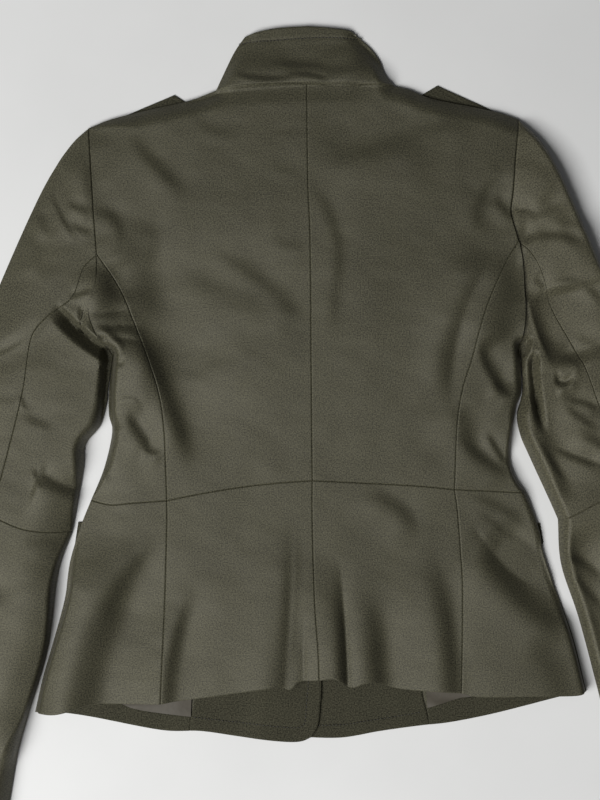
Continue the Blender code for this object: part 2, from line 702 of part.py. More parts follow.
def add_sleeve(side, half):
    """A sleeve in two lengthwise pieces, each cut again by the elbow seam."""
    arm_upper = sample(half["armhole_upper"], CLOSE_FIRST)
    arm_lower = sample(half["armhole_lower"], CLOSE_LAST)
    split = len(arm_lower) - 1 - UNDER_ARM_SHARED
    armhole = (arm_upper, arm_lower, joined(arm_upper, arm_lower[: split + 1]), arm_lower[split:])
    elbow = cross_seam(half["elbow"], share_at(half["elbow"], 0, half["hind_seam"][-1][0]))
    cuff = cross_seam(half["cuff"], share_at(half["cuff"], 0, half["hind_seam_lower"][-1][0]))
    spans = (
        ("upper", armhole, elbow, "", UPPER_SLEEVE_ROWS),
        ("lower", elbow, cuff, "_lower", LOWER_SLEEVE_ROWS),
    )
    for part, first, last, suffix, rows in spans:
        outer = sample(half[f"sleeve_outer{suffix}"], rows)
        inner = sample(half[f"sleeve_inner{suffix}"], rows)
        hind = sample(half[f"hind_seam{suffix}"], rows)
        hidden = np.linspace(first[2][-1], last[2][-1], rows + 1)
        raised_out = surface(patch(first[0], last[0], outer, hind), sleeve_top)
        raised_in = surface(patch(first[1], last[1], hind, inner), sleeve_top)
        laid_out = surface(patch(first[2], last[2], outer, hidden), sleeve_base, up=-1)
        laid_in = surface(patch(first[3], last[3], hidden, inner), sleeve_base, up=-1)
        wall(f"sleeve_top_{part}_{side}", folded(raised_out[:, ::-1], laid_out), WALL, CLOTH)
        wall(f"sleeve_under_{part}_{side}", folded(raised_in, laid_in[:, ::-1]), WALL, CLOTH)


def flat_piece(name, corners, thick, look):
    """A flat piece on the surface, cut to an outline."""
    outline = to_world(np.array([(*corner, 0.0) for corner in corners]))
    bm = bmesh.new()
    face = bm.faces.new([bm.verts.new(place) for place in outline])
    face.normal_update()
    if face.normal.z > 0:
        face.normal_flip()
    mesh = bpy.data.meshes.new(name)
    bm.to_mesh(mesh)
    bm.free()
    made = add_object(name, mesh, look)
    solidify = made.modifiers.new("wall", "SOLIDIFY")
    solidify.thickness = thick * MM
    solidify.offset = -1
    return made


def add_straps_and_flaps():
    """Pointed shoulder straps and pocket flaps, under the fronts."""
    for name, (outer, corner) in STRAPS.items():
        outer, corner = np.array(outer), np.array(corner)
        way = (corner - outer) / np.linalg.norm(corner - outer)
        across = np.array((abs(way[1]), abs(way[0])))
        if way[0] < 0:
            across[0] *= -1
        down = across * STRAP_WIDTH
        tip = corner + down / 2 + way * STRAP_POINT
        corners = (outer, corner, tip, corner + down, outer + down)
        flat_piece(name, corners, STRAP_WALL, CLOTH)
    for name, corners in FLAPS.items():
        flat_piece(name, corners, STRAP_WALL, CLOTH)


def add_buttons():
    """A row of plain buttons under the closed fronts."""
    for number in range(BUTTON_COUNT):
        place = np.array((BUTTON_X, BUTTON_FIRST_Y + number * BUTTON_PITCH, BUTTON_THICK / 2))
        bpy.ops.mesh.primitive_cylinder_add(
            vertices=16, radius=BUTTON_RADIUS * MM, depth=BUTTON_THICK * MM,
            location=to_world(place),
        )
        button = bpy.context.object
        for collection in button.users_collection:
            collection.objects.unlink(button)
        button.name = f"button_{number + 1}"
        button.data.name = button.name
        button.data.materials.append(material(button.name, HORN))
        bpy.data.collections[COLLECTION].objects.link(button)


def main():
    """Clear the scene and make every piece of the jacket."""
    for old in list(bpy.data.objects):
        bpy.data.objects.remove(old)
    made = bpy.data.collections.new(COLLECTION)
    bpy.context.scene.collection.children.link(made)
    for side, half, lift in (("L", LEFT, lift_left), ("R", RIGHT, lift_right)):
        add_backs(side, half)
        add_fronts(side, half, lift)
        add_insides(side, half, lift)
        add_sleeve(side, half)
    add_collar()
    add_straps_and_flaps()
    add_buttons()


main()
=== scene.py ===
"""Dress the laid-out military jacket: fine cloth, seams, folds, stitching and light.

The jacket lies face down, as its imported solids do. Tables are in millimetres: x runs to
the right from the centre back line and y runs down from the top edge of the collar.
Every mesh is made in metres, with +Z up from the surface that the jacket lies on.
"""

import logging
import math
from dataclasses import dataclass, field
from enum import Enum
import bpy
import numpy as np
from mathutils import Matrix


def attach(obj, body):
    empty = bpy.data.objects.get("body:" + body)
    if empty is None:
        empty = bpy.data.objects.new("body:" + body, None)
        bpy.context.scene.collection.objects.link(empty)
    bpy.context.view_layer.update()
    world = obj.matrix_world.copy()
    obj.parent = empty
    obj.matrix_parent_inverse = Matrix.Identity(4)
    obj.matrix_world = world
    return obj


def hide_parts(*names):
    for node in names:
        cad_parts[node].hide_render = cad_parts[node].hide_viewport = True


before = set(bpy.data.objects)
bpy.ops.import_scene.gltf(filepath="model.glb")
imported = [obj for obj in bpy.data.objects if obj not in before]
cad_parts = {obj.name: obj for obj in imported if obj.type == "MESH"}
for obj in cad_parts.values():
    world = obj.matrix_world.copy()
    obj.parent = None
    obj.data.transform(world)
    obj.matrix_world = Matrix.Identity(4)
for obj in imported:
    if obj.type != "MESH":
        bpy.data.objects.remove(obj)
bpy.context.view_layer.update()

LOG = logging.getLogger("jacket")
MM = 0.001
BODY = "root"

# The walls of the shell cloth and of the thinner pieces, and the gap between two layers.
WALL = 1.2
THIN_WALL = 1.0
LAYER_GAP = 0.3
# What stands for nothing and for endless, and the area below which a cell has no direction.
TINY = 1e-9
FAR = 1e9
SMALL_AREA = 1e-6

Points = np.ndarray
Line = tuple[tuple[float, float], ...]
Colour = tuple[float, float, float]


class Side(Enum):
    """Which side of the jacket, as it lies and is seen from above."""

    LEFT = "L"
    RIGHT = "R"


class Slot(Enum):
    """The record's material slots."""

    CLOTH = "shell_cloth"
    LINING = "lining_satin"
    BUTTON = "button_horn"


# ------------------------------------------------------------- seams and edges (x, y)
LEFT: dict[str, Line] = {
    "collar_side": ((-83, 58), (-75, 40), (-66, 22), (-57, 9)),
    "collar_top": ((-57, 9), (-43, 4.5), (-25, 1.4), (-1, 0)),
    "neck": ((-83, 58), (-61, 55), (-30, 53.5), (-1, 54)),
    "shoulder": ((-198, 92), (-178, 84), (-142, 75), (-107, 67), (-83, 58)),
    "armhole_upper": ((-198, 92), (-195, 130), (-192, 171), (-189, 207)),
    "armhole_lower": ((-189, 207), (-189, 232), (-196, 254), (-190, 276), (-176, 297)),
    "princess": (
        (-189, 207), (-175, 227), (-164, 247), (-155, 270), (-142, 303), (-133, 333),
        (-129, 365), (-127, 428),
    ),
    "princess_peplum": ((-127, 428), (-127, 455), (-129, 518), (-132, 610)),
    "centre": ((-1, 54), (0, 140), (2, 194), (3, 301), (4, 410)),
    "centre_peplum": ((4, 410), (4, 445), (6, 517), (9, 562), (10, 588)),
    "side": ((-176, 297), (-180, 328), (-180, 351), (-177, 366), (-184, 398), (-196, 428)),
    "side_peplum": (
        (-196, 428), (-206, 454), (-212, 483), (-217, 517), (-229, 558), (-238, 589),
        (-245, 619),
    ),
    "waist_side": ((-196, 428), (-178, 432), (-160, 430.5), (-127, 428)),
    "waist_centre": ((-127, 428), (-97, 422), (-61, 416), (-25, 412), (4, 410)),
    "hem_side": ((-245, 619), (-226, 619), (-196, 612), (-171, 611), (-132, 610)),
    "hem_centre": (
        (-132, 610), (-103, 606), (-70, 601), (-29, 595), (-16, 597), (-7, 590), (10, 588),
    ),
    "sleeve_outer": (
        (-198, 92), (-213, 106), (-232, 133), (-250, 168), (-277, 229), (-300, 285),
        (-316, 345), (-329, 421),
    ),
    "sleeve_outer_lower": ((-329, 421), (-345, 512), (-376, 687)),
    "sleeve_inner": (
        (-176, 297), (-181, 328), (-182, 340), (-188, 361), (-201, 378), (-203, 400),
        (-213, 456),
    ),
    "sleeve_inner_lower": (
        (-213, 456), (-226, 495), (-235, 562), (-253, 623), (-263, 660), (-272, 713),
    ),
    "hind_seam": (
        (-189, 207), (-201, 219), (-211, 245), (-236, 265), (-249, 285), (-255, 328),
        (-268, 382), (-284, 441),
    ),
    "hind_seam_lower": ((-284, 441), (-297, 510), (-334, 697)),
    "elbow": ((-329, 421), (-284, 441), (-259, 452), (-237, 456), (-213, 456)),
    "cuff": ((-376, 687), (-334, 697), (-272, 713)),
    "front_collar_top": ((-57, 9), (-48, 30), (-28, 46), (-2, 52)),
    "front_collar_neck": ((-83, 58), (-56, 86), (-25, 101), (-2, 105)),
    "front_edge": ((10, 105), (11, 300), (11, 428)),
    "front_edge_peplum": ((11, 428), (12, 588), (11, 612), (9, 631), (3, 642)),
    "front_waist": ((-196, 428), (-160, 430), (-90, 429), (11, 428)),
    "front_side_peplum": (
        (-196, 428), (-206, 454), (-215, 483), (-220, 517), (-231, 558), (-240, 589),
        (-247, 620),
    ),
    "front_hem": (
        (-247, 620), (-226, 620), (-196, 624), (-133, 636), (-97, 637), (-61, 642),
        (-25, 646), (-7, 646), (3, 642),
    ),
    "facing_edge": ((-103, 548), (-103, 607), (-106, 625), (-107, 637)),
    "turn_up_top": ((-236, 588), (-205, 597), (-171, 611), (-151, 618), (-106, 624)),
}
RIGHT: dict[str, Line] = {
    "collar_side": ((78, 54), (70, 43), (65, 31), (56, 19), (42, 7)),
    "collar_top": ((42, 7), (38, 4), (20, 1.4), (-1, 0)),
    "neck": ((78, 54), (56, 54.5), (33, 56), (-1, 54)),
    "shoulder": ((190, 84), (173, 78), (155, 74), (119, 67), (105, 63), (91, 57), (78, 54)),
    "armhole_upper": ((190, 84), (186, 121), (184, 148), (182, 168), (184, 178), (189, 195)),
    "armhole_lower": ((189, 195), (192, 213), (194, 234), (195, 261), (192, 288)),
    "princess": (
        (189, 195), (179, 211), (166, 238), (156, 265), (147, 301), (139, 327),
        (134, 360), (132, 418),
    ),
    "princess_peplum": ((132, 418), (135, 441), (139, 500), (139, 553), (138, 601)),
    "centre": LEFT["centre"],
    "centre_peplum": LEFT["centre_peplum"],
    "side": ((192, 288), (193, 328), (188, 345), (184, 372), (183, 392), (188, 408), (197, 421)),
    "side_peplum": (
        (197, 421), (209, 455), (212, 473), (219, 495), (238, 549), (251, 600),
    ),
    "waist_side": ((197, 421), (173, 420), (132, 418)),
    "waist_centre": ((132, 418), (101, 415), (47, 412), (4, 410)),
    "hem_side": ((251, 600), (240, 603), (209, 603), (155, 604), (138, 601)),
    "hem_centre": (
        (138, 601), (119, 599), (83, 597), (56, 591), (38, 595), (24, 587), (10, 588),
    ),
    "sleeve_outer": (
        (190, 84), (209, 102), (227, 130), (254, 190), (284, 262), (306, 312), (328, 362),
        (341, 402),
    ),
    "sleeve_outer_lower": ((341, 402), (352, 452), (391, 668)),
    "sleeve_inner": (
        (192, 288), (194, 328), (189, 350), (192, 369), (201, 390), (218, 427), (226, 445),
    ),
    "sleeve_inner_lower": (
        (226, 445), (229, 486), (245, 535), (263, 603), (274, 648), (285, 697),
    ),
    "hind_seam": (
        (189, 195), (202, 208), (212, 228), (220, 255), (246, 303), (263, 347), (293, 417),
    ),
    "hind_seam_lower": ((293, 417), (306, 475), (349, 680)),
    "elbow": ((341, 402), (293, 417), (263, 428), (238, 441), (226, 445)),
    "cuff": ((391, 668), (349, 680), (285, 697)),
    "front_collar_top": ((42, 7), (38, 28), (22, 46), (0, 52)),
    "front_collar_neck": ((78, 54), (54, 84), (22, 100), (0, 105)),
    "front_edge": ((-14, 105), (-14, 300), (-14, 428)),
    "front_edge_peplum": ((-14, 428), (-14, 588), (-13, 642)),
    "front_waist": ((197, 421), (160, 426), (90, 428), (-14, 428)),
    "front_side_peplum": (
        (197, 421), (209, 455), (212, 473), (219, 495), (239, 549), (252, 601),
    ),
    "front_hem": (
        (252, 601), (231, 605), (200, 613), (164, 622), (128, 629), (101, 632), (65, 637),
        (29, 643), (-13, 642),
    ),
    "facing_edge": ((103, 548), (103, 598), (107, 618), (110, 631)),
    "turn_up_top": ((240, 580), (190, 594), (150, 605), (137, 607), (108, 616)),
}
HALVES = {Side.LEFT: LEFT, Side.RIGHT: RIGHT}

# --------------------------------------------------------------------------- folds
# Columns: start, middle and end of the fold line, its width on the left and on the
# right of the way from start to end, and its height, which is below 0 in a trough.
MAIN_FOLDS = (
    ((-19, 455), (-20, 526), (-21, 640), 16, 9, 2.0),
    ((40, 470), (44, 535), (46, 650), 14, 9, 1.4),
    ((196, 92), (226, 148), (262, 250), 8, 40, 3.6),
    ((65, 510), (67, 560), (69, 650), 14, 12, -1.5),
    ((126, 505), (131, 560), (132, 650), 10, 10, -1.5),
    ((-110, 505), (-115, 553), (-124, 600), 14, 14, -1.0),
    ((152, 422), (190, 468), (222, 505), 13, 13, -1.5),
    ((-140, 282), (-151, 315), (-156, 352), 12, 14, 2.0),
    ((-164, 348), (-151, 364), (-132, 388), 12, 12, -2.0),
    ((157, 276), (167, 322), (190, 336), 12, 13, -2.0),
    ((134, 368), (164, 399), (186, 410), 14, 12, -1.5),
    ((174, 132), (166, 160), (152, 190), 16, 16, -1.0),
    ((-30, 28), (6, 37), (42, 42), 9, 9, -1.0),
    ((-220, 262), (-250, 284), (-304, 304), 18, 9, -5.0),
    ((-312, 470), (-290, 500), (-262, 520), 12, 12, -2.0),
    ((-330, 580), (-300, 600), (-272, 604), 12, 12, -2.0),
    ((200, 240), (212, 274), (222, 300), 9, 11, -3.0),
    ((204, 190), (227, 192), (250, 200), 10, 10, -1.5),
    ((222, 228), (250, 247), (276, 264), 10, 10, -1.5),
    ((208, 370), (228, 385), (276, 396), 11, 11, -2.5),
    ((224, 336), (246, 341), (276, 350), 9, 9, -2.0),
    ((226, 470), (245, 486), (276, 504), 10, 10, -2.0),
    ((300, 520), (290, 546), (262, 566), 12, 12, -2.5),
)
# Further troughs and ridges. Here, and in the tables below, two more columns may say over
# what share of the line the fold grows at its start and dies away at its end.
FINE_FOLDS = (
    # peplum
    ((-11, 440), (-12, 500), (-20, 600), 4, 4, 0.8),
    # folded edge of the side under the left arm
    ((-199, 256), (-195, 277), (-173, 290), 3.2, 3.2, 2.6),
    ((-191, 273), (-178, 279), (-163, 297), 3, 3, 1.8),
    ((-186, 279), (-181, 286), (-175, 294), 3, 3, -3.5),
    ((-178, 303), (-170, 304), (-162, 303), 3, 3, -2.2),
    # right sleeve, from the armhole down
    ((196, 236), (203, 268), (221, 312), 2.5, 2.5, 1.3),
    ((220, 314), (229, 321), (239, 317), 3.5, 3.5, -4.5),
    ((222, 334), (230, 326), (243, 324), 4, 4, 1.8),
    ((197, 312), (198, 335), (196, 352), 4, 4, -1.5),
)
# Sharp folds, with the columns of the others.
CREASES = (
    # left sleeve, over the hollow under the arm
    ((-226, 255), (-241, 274), (-306, 304), 12, 7, 3.2),
    # under the left arm: small folds pressed into the side
    ((-197, 260), (-180, 259), (-158, 254), 2.5, 7, -3.0),
    ((-190, 270.5), (-172, 270.5), (-148, 268), 2, 6, -3.5),
    ((-182, 281), (-165, 282), (-146, 285), 2, 5, -2.5),
    # centre of the peplum
    ((-3, 520), (-4, 560), (-1, 650), 3, 8, -2.6, 0.4, 0.1),
    # right of the peplum
    ((146, 447), (178, 486), (208, 510), 3, 6, -1.6, 0.2, 0.3),
)
# Troughs with straight walls, with the columns of the folds.
PLEATS = (
    ((-114, 66), (-10, 55), (86, 58), 3, 14, -2.8, 0.10, 0.22),
    ((-228, 251), (-203, 277), (-173, 297), 5, 10, -15.0, 0.3, 0.08),
    ((-180, 286), (-182, 325), (-184, 365), 9, 5, -14.0, 0.12, 0.12),
    ((203, 292), (204, 326), (213, 372), 5, 6, -14.0, 0.15, 0.4),
    ((199, 279), (195, 289), (192, 300), 5, 5, -14.0, 0.3, 0.3),
)
# Slopes between a high side and a low side, which look dark or light as they face.
# Columns: start, middle and end of the line where the slope is steepest, its width on
# the left and on the right, and how steep it is where the right side is the high one. A
# ninth column may say how many widths off the slope has mostly died away.
BENDS = (
    # back, left of its centre
    ((-166, 95), (-143, 120), (-104, 158), 6, 6, 0.20),
    ((-194, 163), (-179, 170), (-168, 206), 5, 6, 0.24),
    ((-168, 176), (-150, 225), (-130, 280), 16, 18, 0.16),
    ((-170, 178), (-150, 182), (-128, 196), 7, 9, 0.12),
    ((-186, 212), (-178, 232), (-172, 256), 8, 8, 0.34),
    ((-98, 196), (-48, 226), (-4, 268), 8, 7, 0.15, 0.4, 0.2, 4.0),
    ((-130, 218), (-84, 238), (-28, 264), 10, 9, 0.12, 0.4, 0.25, 4.0),
    ((-36, 192), (-15, 199), (2, 201), 5, 5, 0.10),
    ((-108, 78), (-85, 95), (-52, 97), 5, 5, 0.08),
    ((-42, 97), (-15, 98), (8, 97), 3, 3, 0.07),
    ((-36, 128), (-15, 132), (-2, 134), 4, 4, 0.07),
    # back, right of its centre
    ((2, 140), (22, 178), (27, 240), 5, 5, 0.15),
    ((27, 200), (25, 240), (20, 282), 6, 6, 0.12),
    ((0, 120), (55, 114), (120, 92), 12, 12, 0.20),
    ((96, 99), (122, 92), (150, 86), 6, 6, 0.12),
    ((180, 132), (163, 144), (152, 158), 5, 5, 0.16),
    ((160, 144), (154, 162), (152, 190), 6, 6, 0.14),
    ((166, 150), (174, 164), (188, 178), 4, 4, 0.26),
    # sides above the waist
    ((-176, 240), (-133, 318), (-103, 404), 8, 7, 0.50, 0.3, 0.25, 6.0),
    ((-176, 208), (-144, 266), (-118, 340), 24, 18, 0.17, 0.3, 0.3, 3.6),
    ((-190, 214), (-178, 262), (-156, 312), 12, 9, 0.30, 0.25, 0.4, 3.0),
    ((172, 196), (134, 268), (125, 350), 4.5, 11, 0.26, 0.3, 0.3, 2.2),
    ((154, 282), (161, 308), (182, 334), 7, 3, 0.52, 0.25, 0.25, 4.0),
    ((190, 206), (176, 262), (170, 306), 16, 16, 0.30, 0.3, 0.35, 3.0),
    ((-165, 343), (-155, 362), (-138, 386), 5, 5, 0.40),
    ((-150, 378), (-141, 384), (-128, 385), 3, 3, 0.35),
    ((-174, 338), (-160, 335), (-146, 344), 2.5, 2.5, 0.30),
    ((-182, 348), (-176, 358), (-168, 367), 2.5, 2.5, 0.50),
    ((-184, 382), (-183, 402), (-179, 414), 2.5, 2.5, 0.40),
    ((164, 318), (174, 330), (190, 334), 4, 4, 0.36),
    ((134, 368), (155, 388), (188, 407), 6, 6, 0.42),
    ((159, 364), (168, 379), (182, 400), 2.5, 2.5, 0.50),
    ((136, 338), (139, 356), (146, 384), 8, 8, 0.20),
    # peplum
    ((138, 421), (168, 432), (206, 462), 5, 5, 0.20),
    ((146, 434), (178, 458), (220, 508), 2.5, 2.5, 0.20),
    ((176, 448), (198, 473), (216, 490), 3, 3, 0.22),
    ((196, 545), (216, 575), (230, 650), 13, 13, 0.12),
    ((106, 462), (124, 530), (128, 690), 8, 10, 0.30, 0.35, 0.1),
    ((44, 420), (72, 428), (102, 464), 6, 7, 0.18),
    ((26, 474), (33, 556), (33, 700), 1.2, 8, 0.92, 0.4, 0.05, 2.8),
    ((-14, 432), (-18, 516), (-30, 650), 4, 12, 0.34, 0.5, 0.1, 2.6),
    ((12, 462), (17, 545), (17, 700), 10, 10, 0.20, 0.4, 0.1),
    ((56, 500), (62, 555), (66, 690), 10, 9, 0.36, 0.35, 0.1, 3.6),
    ((-132, 460), (-160, 492), (-188, 544), 7, 6, 0.24),
    ((-146, 466), (-188, 550), (-208, 690), 17, 24, 0.44, 0.3, 0.1, 2.8),
    ((152, 464), (184, 506), (238, 548), 16, 12, 0.34, 0.2, 0.25, 2.4),
    ((-100, 496), (-116, 545), (-126, 650), 8, 6, 0.40, 0.35, 0.2),
    # left sleeve
    ((-233, 145), (-223, 170), (-205, 197), 2.5, 2.5, 0.34),
    ((-244, 163), (-239, 178), (-232, 194), 4, 4, 0.20),
    ((-219, 158), (-208, 165), (-192, 168), 3.5, 3.5, 0.28),
    ((-216, 178), (-203, 185), (-190, 188), 3, 3, 0.28),
    ((-249, 182), (-244, 205), (-240, 232), 8, 8, 0.14),
    ((-202, 108), (-198, 140), (-193, 176), 6, 6, 0.24),
    ((-216, 247), (-203, 243), (-191, 239), 2, 2, 0.50),
    ((-204, 250), (-204, 262), (-202, 274), 2.5, 2.5, 0.50),
    ((-242, 403), (-227, 413), (-200, 421), 4, 9, 0.42, 0.15, 0.15, 2.4),
    ((-246, 396), (-243, 406), (-238, 419), 2, 2, 0.30),
    ((-257, 351), (-244, 357), (-226, 362), 4, 4, 0.16),
    ((-284, 336), (-270, 338), (-257, 338), 3, 3, 0.10),
    ((-257, 330), (-255, 340), (-251, 348), 2, 2, 0.24),
    ((-254, 470), (-240, 465), (-222, 463), 4, 4, 0.14),
    ((-316, 474), (-290, 500), (-262, 522), 7, 7, 0.14),
    ((-330, 584), (-300, 600), (-270, 606), 7, 7, 0.12),
    ((-344, 520), (-322, 560), (-314, 610), 10, 10, 0.12),
    # right sleeve
    ((184, 177), (202, 173), (234, 158), 4, 6, 0.36),
    ((182, 168), (190, 168), (206, 169), 2, 2, 0.34),
    ((228, 132), (216, 150), (208, 176), 8, 8, 0.15),
    ((186, 199), (212, 190), (254, 203), 5, 5, 0.46, 0.15, 0.35),
    ((211, 178), (232, 179), (258, 186), 5, 5, 0.24),
    ((207, 232), (234, 230), (272, 264), 4, 5, 0.34),
    ((201, 228), (207, 232), (214, 239), 3, 3, 0.28),
    ((205, 238), (210, 272), (222, 312), 14, 6, 0.44, 0.15, 0.2, 4.0),
    ((214, 378), (232, 386), (270, 400), 3.5, 3.5, 0.50),
    ((217, 306), (238, 303), (248, 320), 5, 4, 0.24),
    ((224, 336), (240, 338), (266, 349), 3, 3, 0.48),
    ((226, 340), (242, 352), (264, 366), 3, 3, 0.30),
    ((238, 365), (255, 373), (278, 392), 5, 5, 0.30),
    ((236, 279), (250, 284), (268, 296), 4, 4, 0.15),
    ((196, 352), (211, 382), (238, 419), 2.5, 2.5, 0.36),
    ((222, 471), (240, 480), (270, 502), 4, 4, 0.42),
    ((230, 485), (245, 503), (270, 530), 3, 3, 0.30),
    ((300, 520), (290, 546), (262, 566), 8, 8, 0.16),
    ((330, 560), (318, 590), (300, 630), 9, 9, 0.12),
    ((231, 448), (248, 530), (289, 700), 13, 4, 0.46, 0.1, 0.05, 3.0),
    ((206, 330), (212, 372), (234, 432), 7, 4, 0.34, 0.3, 0.2, 3.0),
    # collar
    ((-72, 42), (-38, 49), (-8, 46), 2.2, 2.2, 0.46),
    ((-22, 45.5), (2, 46), (22, 52), 2.2, 2.2, 0.46),
    ((-36, 34), (-5, 36), (20, 37), 4, 4, 0.28),
    ((3, 38), (25, 41), (48, 39), 4, 4, 0.20),
    ((34, 10), (48, 28), (58, 50), 9, 9, 0.22),
)

# Over what distance the jacket rises from each edge, on the left and on the right.
EDGE_RADII = {
    "collar_side": (13.0, 12.0),
    "shoulder": (17.0, 17.0),
    "side": (9.0, 4.5),
    "side_peplum": (45.0, 5.0),
    "sleeve_outer": (52.0, 6.0),
    "sleeve_outer_lower": (45.0, 6.0),
    "sleeve_inner": (9.0, 9.0),
    "sleeve_inner_lower": (12.0, 9.0),
}

# What lies under the fronts and lifts them.
# Columns: one end, other end, half width, height, and the distance it fades over.
BUTTON_PAD = ((-1.5, 112), (-1.5, 412), 14, 3.0, 13)
STRAP_PADS = (
    ((-190, 108), (-106, 76), 33, 1.9, 12),
    ((181, 101), (106, 70), 33, 1.9, 12),
)
FLAP_PADS = (
    ((-192, 468), (-112, 468), 38, 1.9, 14),
    ((192, 468), (112, 468), 38, 1.9, 14),
)

# Rows of topstitching: the points each row passes through.
COLLAR_ROW: Line = (
    (-61.5, 15.4), (-43, 13.8), (-25, 12.6), (-7, 11.2), (20, 10.3), (44, 11.8),
)
FRONT_ROWS: dict[Side, Line] = {
    Side.LEFT: (
        (-102, 624.5), (-79, 627.3), (-61, 629.1), (-43, 630.9), (-25, 632.7), (-10, 633.4),
        (-3.5, 630), (-1.8, 620), (-0.9, 607), (0, 598), (0.9, 580), (0.9, 552),
    ),
    Side.RIGHT: (
        (-2, 631.5), (10.8, 631.8), (33.3, 631), (46.8, 628.8), (73.8, 624.6), (100.8, 620.1),
    ),
}


# --------------------------------------------------------------------- plane curves
def smooth(table: Line, steps: int = 10) -> Points:
    """Draw a fine polyline on a smooth curve through the points of a table.

    Args:
        table: Points of the curve, in millimetres.
        steps: Segments between two of those points.

    Returns:
        The polyline's points.
    """
    p = np.array(table, float)
    p = np.vstack((2 * p[0] - p[1], p, 2 * p[-1] - p[-2]))
    t = np.linspace(0, 1, steps, endpoint=False)[:, None]
    spans = []
    for a, b, c, d in zip(p, p[1:], p[2:], p[3:]):
        curve = 2 * b + (c - a) * t + (2 * a - 5 * b + 4 * c - d) * t**2
        spans.append((curve + (3 * b - a - 3 * c + d) * t**3) / 2)
    return np.vstack((*spans, p[-2]))


def length_of(line: Points) -> float:
    """Measure a polyline, in millimetres."""
    return float(np.linalg.norm(np.diff(line, axis=0), axis=1).sum())


def along(line: Points) -> Points:
    """Give the share of a polyline's length at each of its points."""
    total = np.concatenate(([0.0], np.cumsum(np.linalg.norm(np.diff(line, axis=0), axis=1))))
    return total / max(total[-1], TINY)


def sample(table: Line, shares: Points) -> Points:
    """Place points on a table's smooth curve.

    Args:
        table: Points of the curve.
        shares: Where to place them, as shares of its length.

    Returns:
        One point for each share.
    """
    line = smooth(table)
    at = along(line)
    return np.column_stack([np.interp(shares, at, line[:, k]) for k in (0, 1)])


def share_at(table: Line, axis: int, value: float) -> float:
    """Find the share of a curve's length at which x (axis 0) or y (axis 1) passes a value."""
    line = smooth(table)
    return float(along(line)[np.argmin(np.abs(line[:, axis] - value))])


def straight(start: Points, end: Points, shares: Points) -> Points:
    """Place points at shares of the straight line between two points."""
    return start + shares[:, None] * (end - start)


def joined(*edges: Points) -> Points:
    """Put edges one after another, without the points that they share."""
    return np.vstack((edges[0], *(edge[1:] for edge in edges[1:])))


# How far from a seam or an edge the closest grid lines lie, and the fewest cells of a grid.
NEAR_EDGE = (0.0, 0.3, 0.7, 1.3, 2.3, 3.8)
FEWEST_CELLS = 6


def spaced(length: float, pitch: float, first: bool = True, last: bool = True) -> Points:
    """Space the lines of a grid, closer together at a seam or an edge.

    Args:
        length: How long the grid is across those lines, in millimetres.
        pitch: The usual space between two lines.
        first: Whether the lines are close together at the start.
        last: Whether they are at the end.

    Returns:
        The lines' places, as shares of the length.
    """
    near = np.array(NEAR_EDGE)
    start = near if first else near[:1]
    end = length - (near[::-1] if last else near[:1])
    if end[0] - start[-1] < pitch:
        return np.linspace(0, 1, max(int(length / pitch), FEWEST_CELLS) + 1)
    count = max(int(round((end[0] - start[-1]) / pitch)), 1)
    middle = np.linspace(start[-1], end[0], count + 1)[1:-1]
    return np.concatenate((start, middle, end)) / length


def lined(table: Line, pitch: float, first: bool = True, last: bool = True) -> Points:
    """Sample a whole curve with the spacing that spaced() gives."""
    return sample(table, spaced(length_of(smooth(table)), pitch, first, last))


def patch(first: Points, last: Points, start: Points, end: Points) -> Points:
    """Fill the space between four edges with a grid of points.

    Args:
        first: The first row, which may be a single point.
        last: The last row.
        start: The first column, from the first row to the last.
        end: The last column.

    Returns:
        Points in rows and columns.
    """
    u = along(last) if length_of(first) < 1 else (along(first) + along(last)) / 2
    v = (along(start) + along(end)) / 2
    u, v = u[None, :, None], v[:, None, None]
    across = (1 - u) * start[:, None] + u * end[:, None]
    down = (1 - v) * first[None] + v * last[None]
    corners = (1 - v) * ((1 - u) * first[0] + u * first[-1])
    return across + down - corners - v * ((1 - u) * last[0] + u * last[-1])


# ------------------------------------------------------------------------- heights
def distance(points: Points, line: Points, reach: float = FAR) -> Points:
    """Measure how far points lie from a polyline.

    Args:
        points: Points in the plane.
        line: The polyline.
        reach: Points farther off than this may be given any larger distance.

    Returns:
        Each point's distance.
    """
    flat = points.reshape(-1, 2)
    low, high = line.min(axis=0) - reach, line.max(axis=0) + reach
    inside = np.nonzero(((flat >= low) & (flat <= high)).all(axis=1))[0]
    near = flat[inside]
    best = np.full(len(near), FAR)
    for a, b in zip(line, line[1:]):
        way = b - a
        off = near - a
        t = np.clip(off @ way / max(way @ way, TINY), 0, 1)
        off = off - t[:, None] * way
        best = np.minimum(best, off[:, 0] ** 2 + off[:, 1] ** 2)
    out = np.full(len(flat), FAR)
    out[inside] = np.sqrt(best)
    return out.reshape(points.shape[:-1])


def step(x: Points) -> Points:
    """Step smoothly from 0 to 1 as x goes from 0 to 1."""
    x = np.clip(x, 0, 1)
    return x * x * (3 - 2 * x)


def rounded(share: Points) -> Points:
    """Rise as a quarter circle: 0 at 0 and 1 from 1 on."""
    return np.sqrt(1 - (1 - np.clip(share, 0, 1)) ** 2)


# The table of random heights repeats after this many cells. The shift keeps its places
# above zero.
LATTICE_SIZE = 97
LATTICE_SHIFT = 200.0


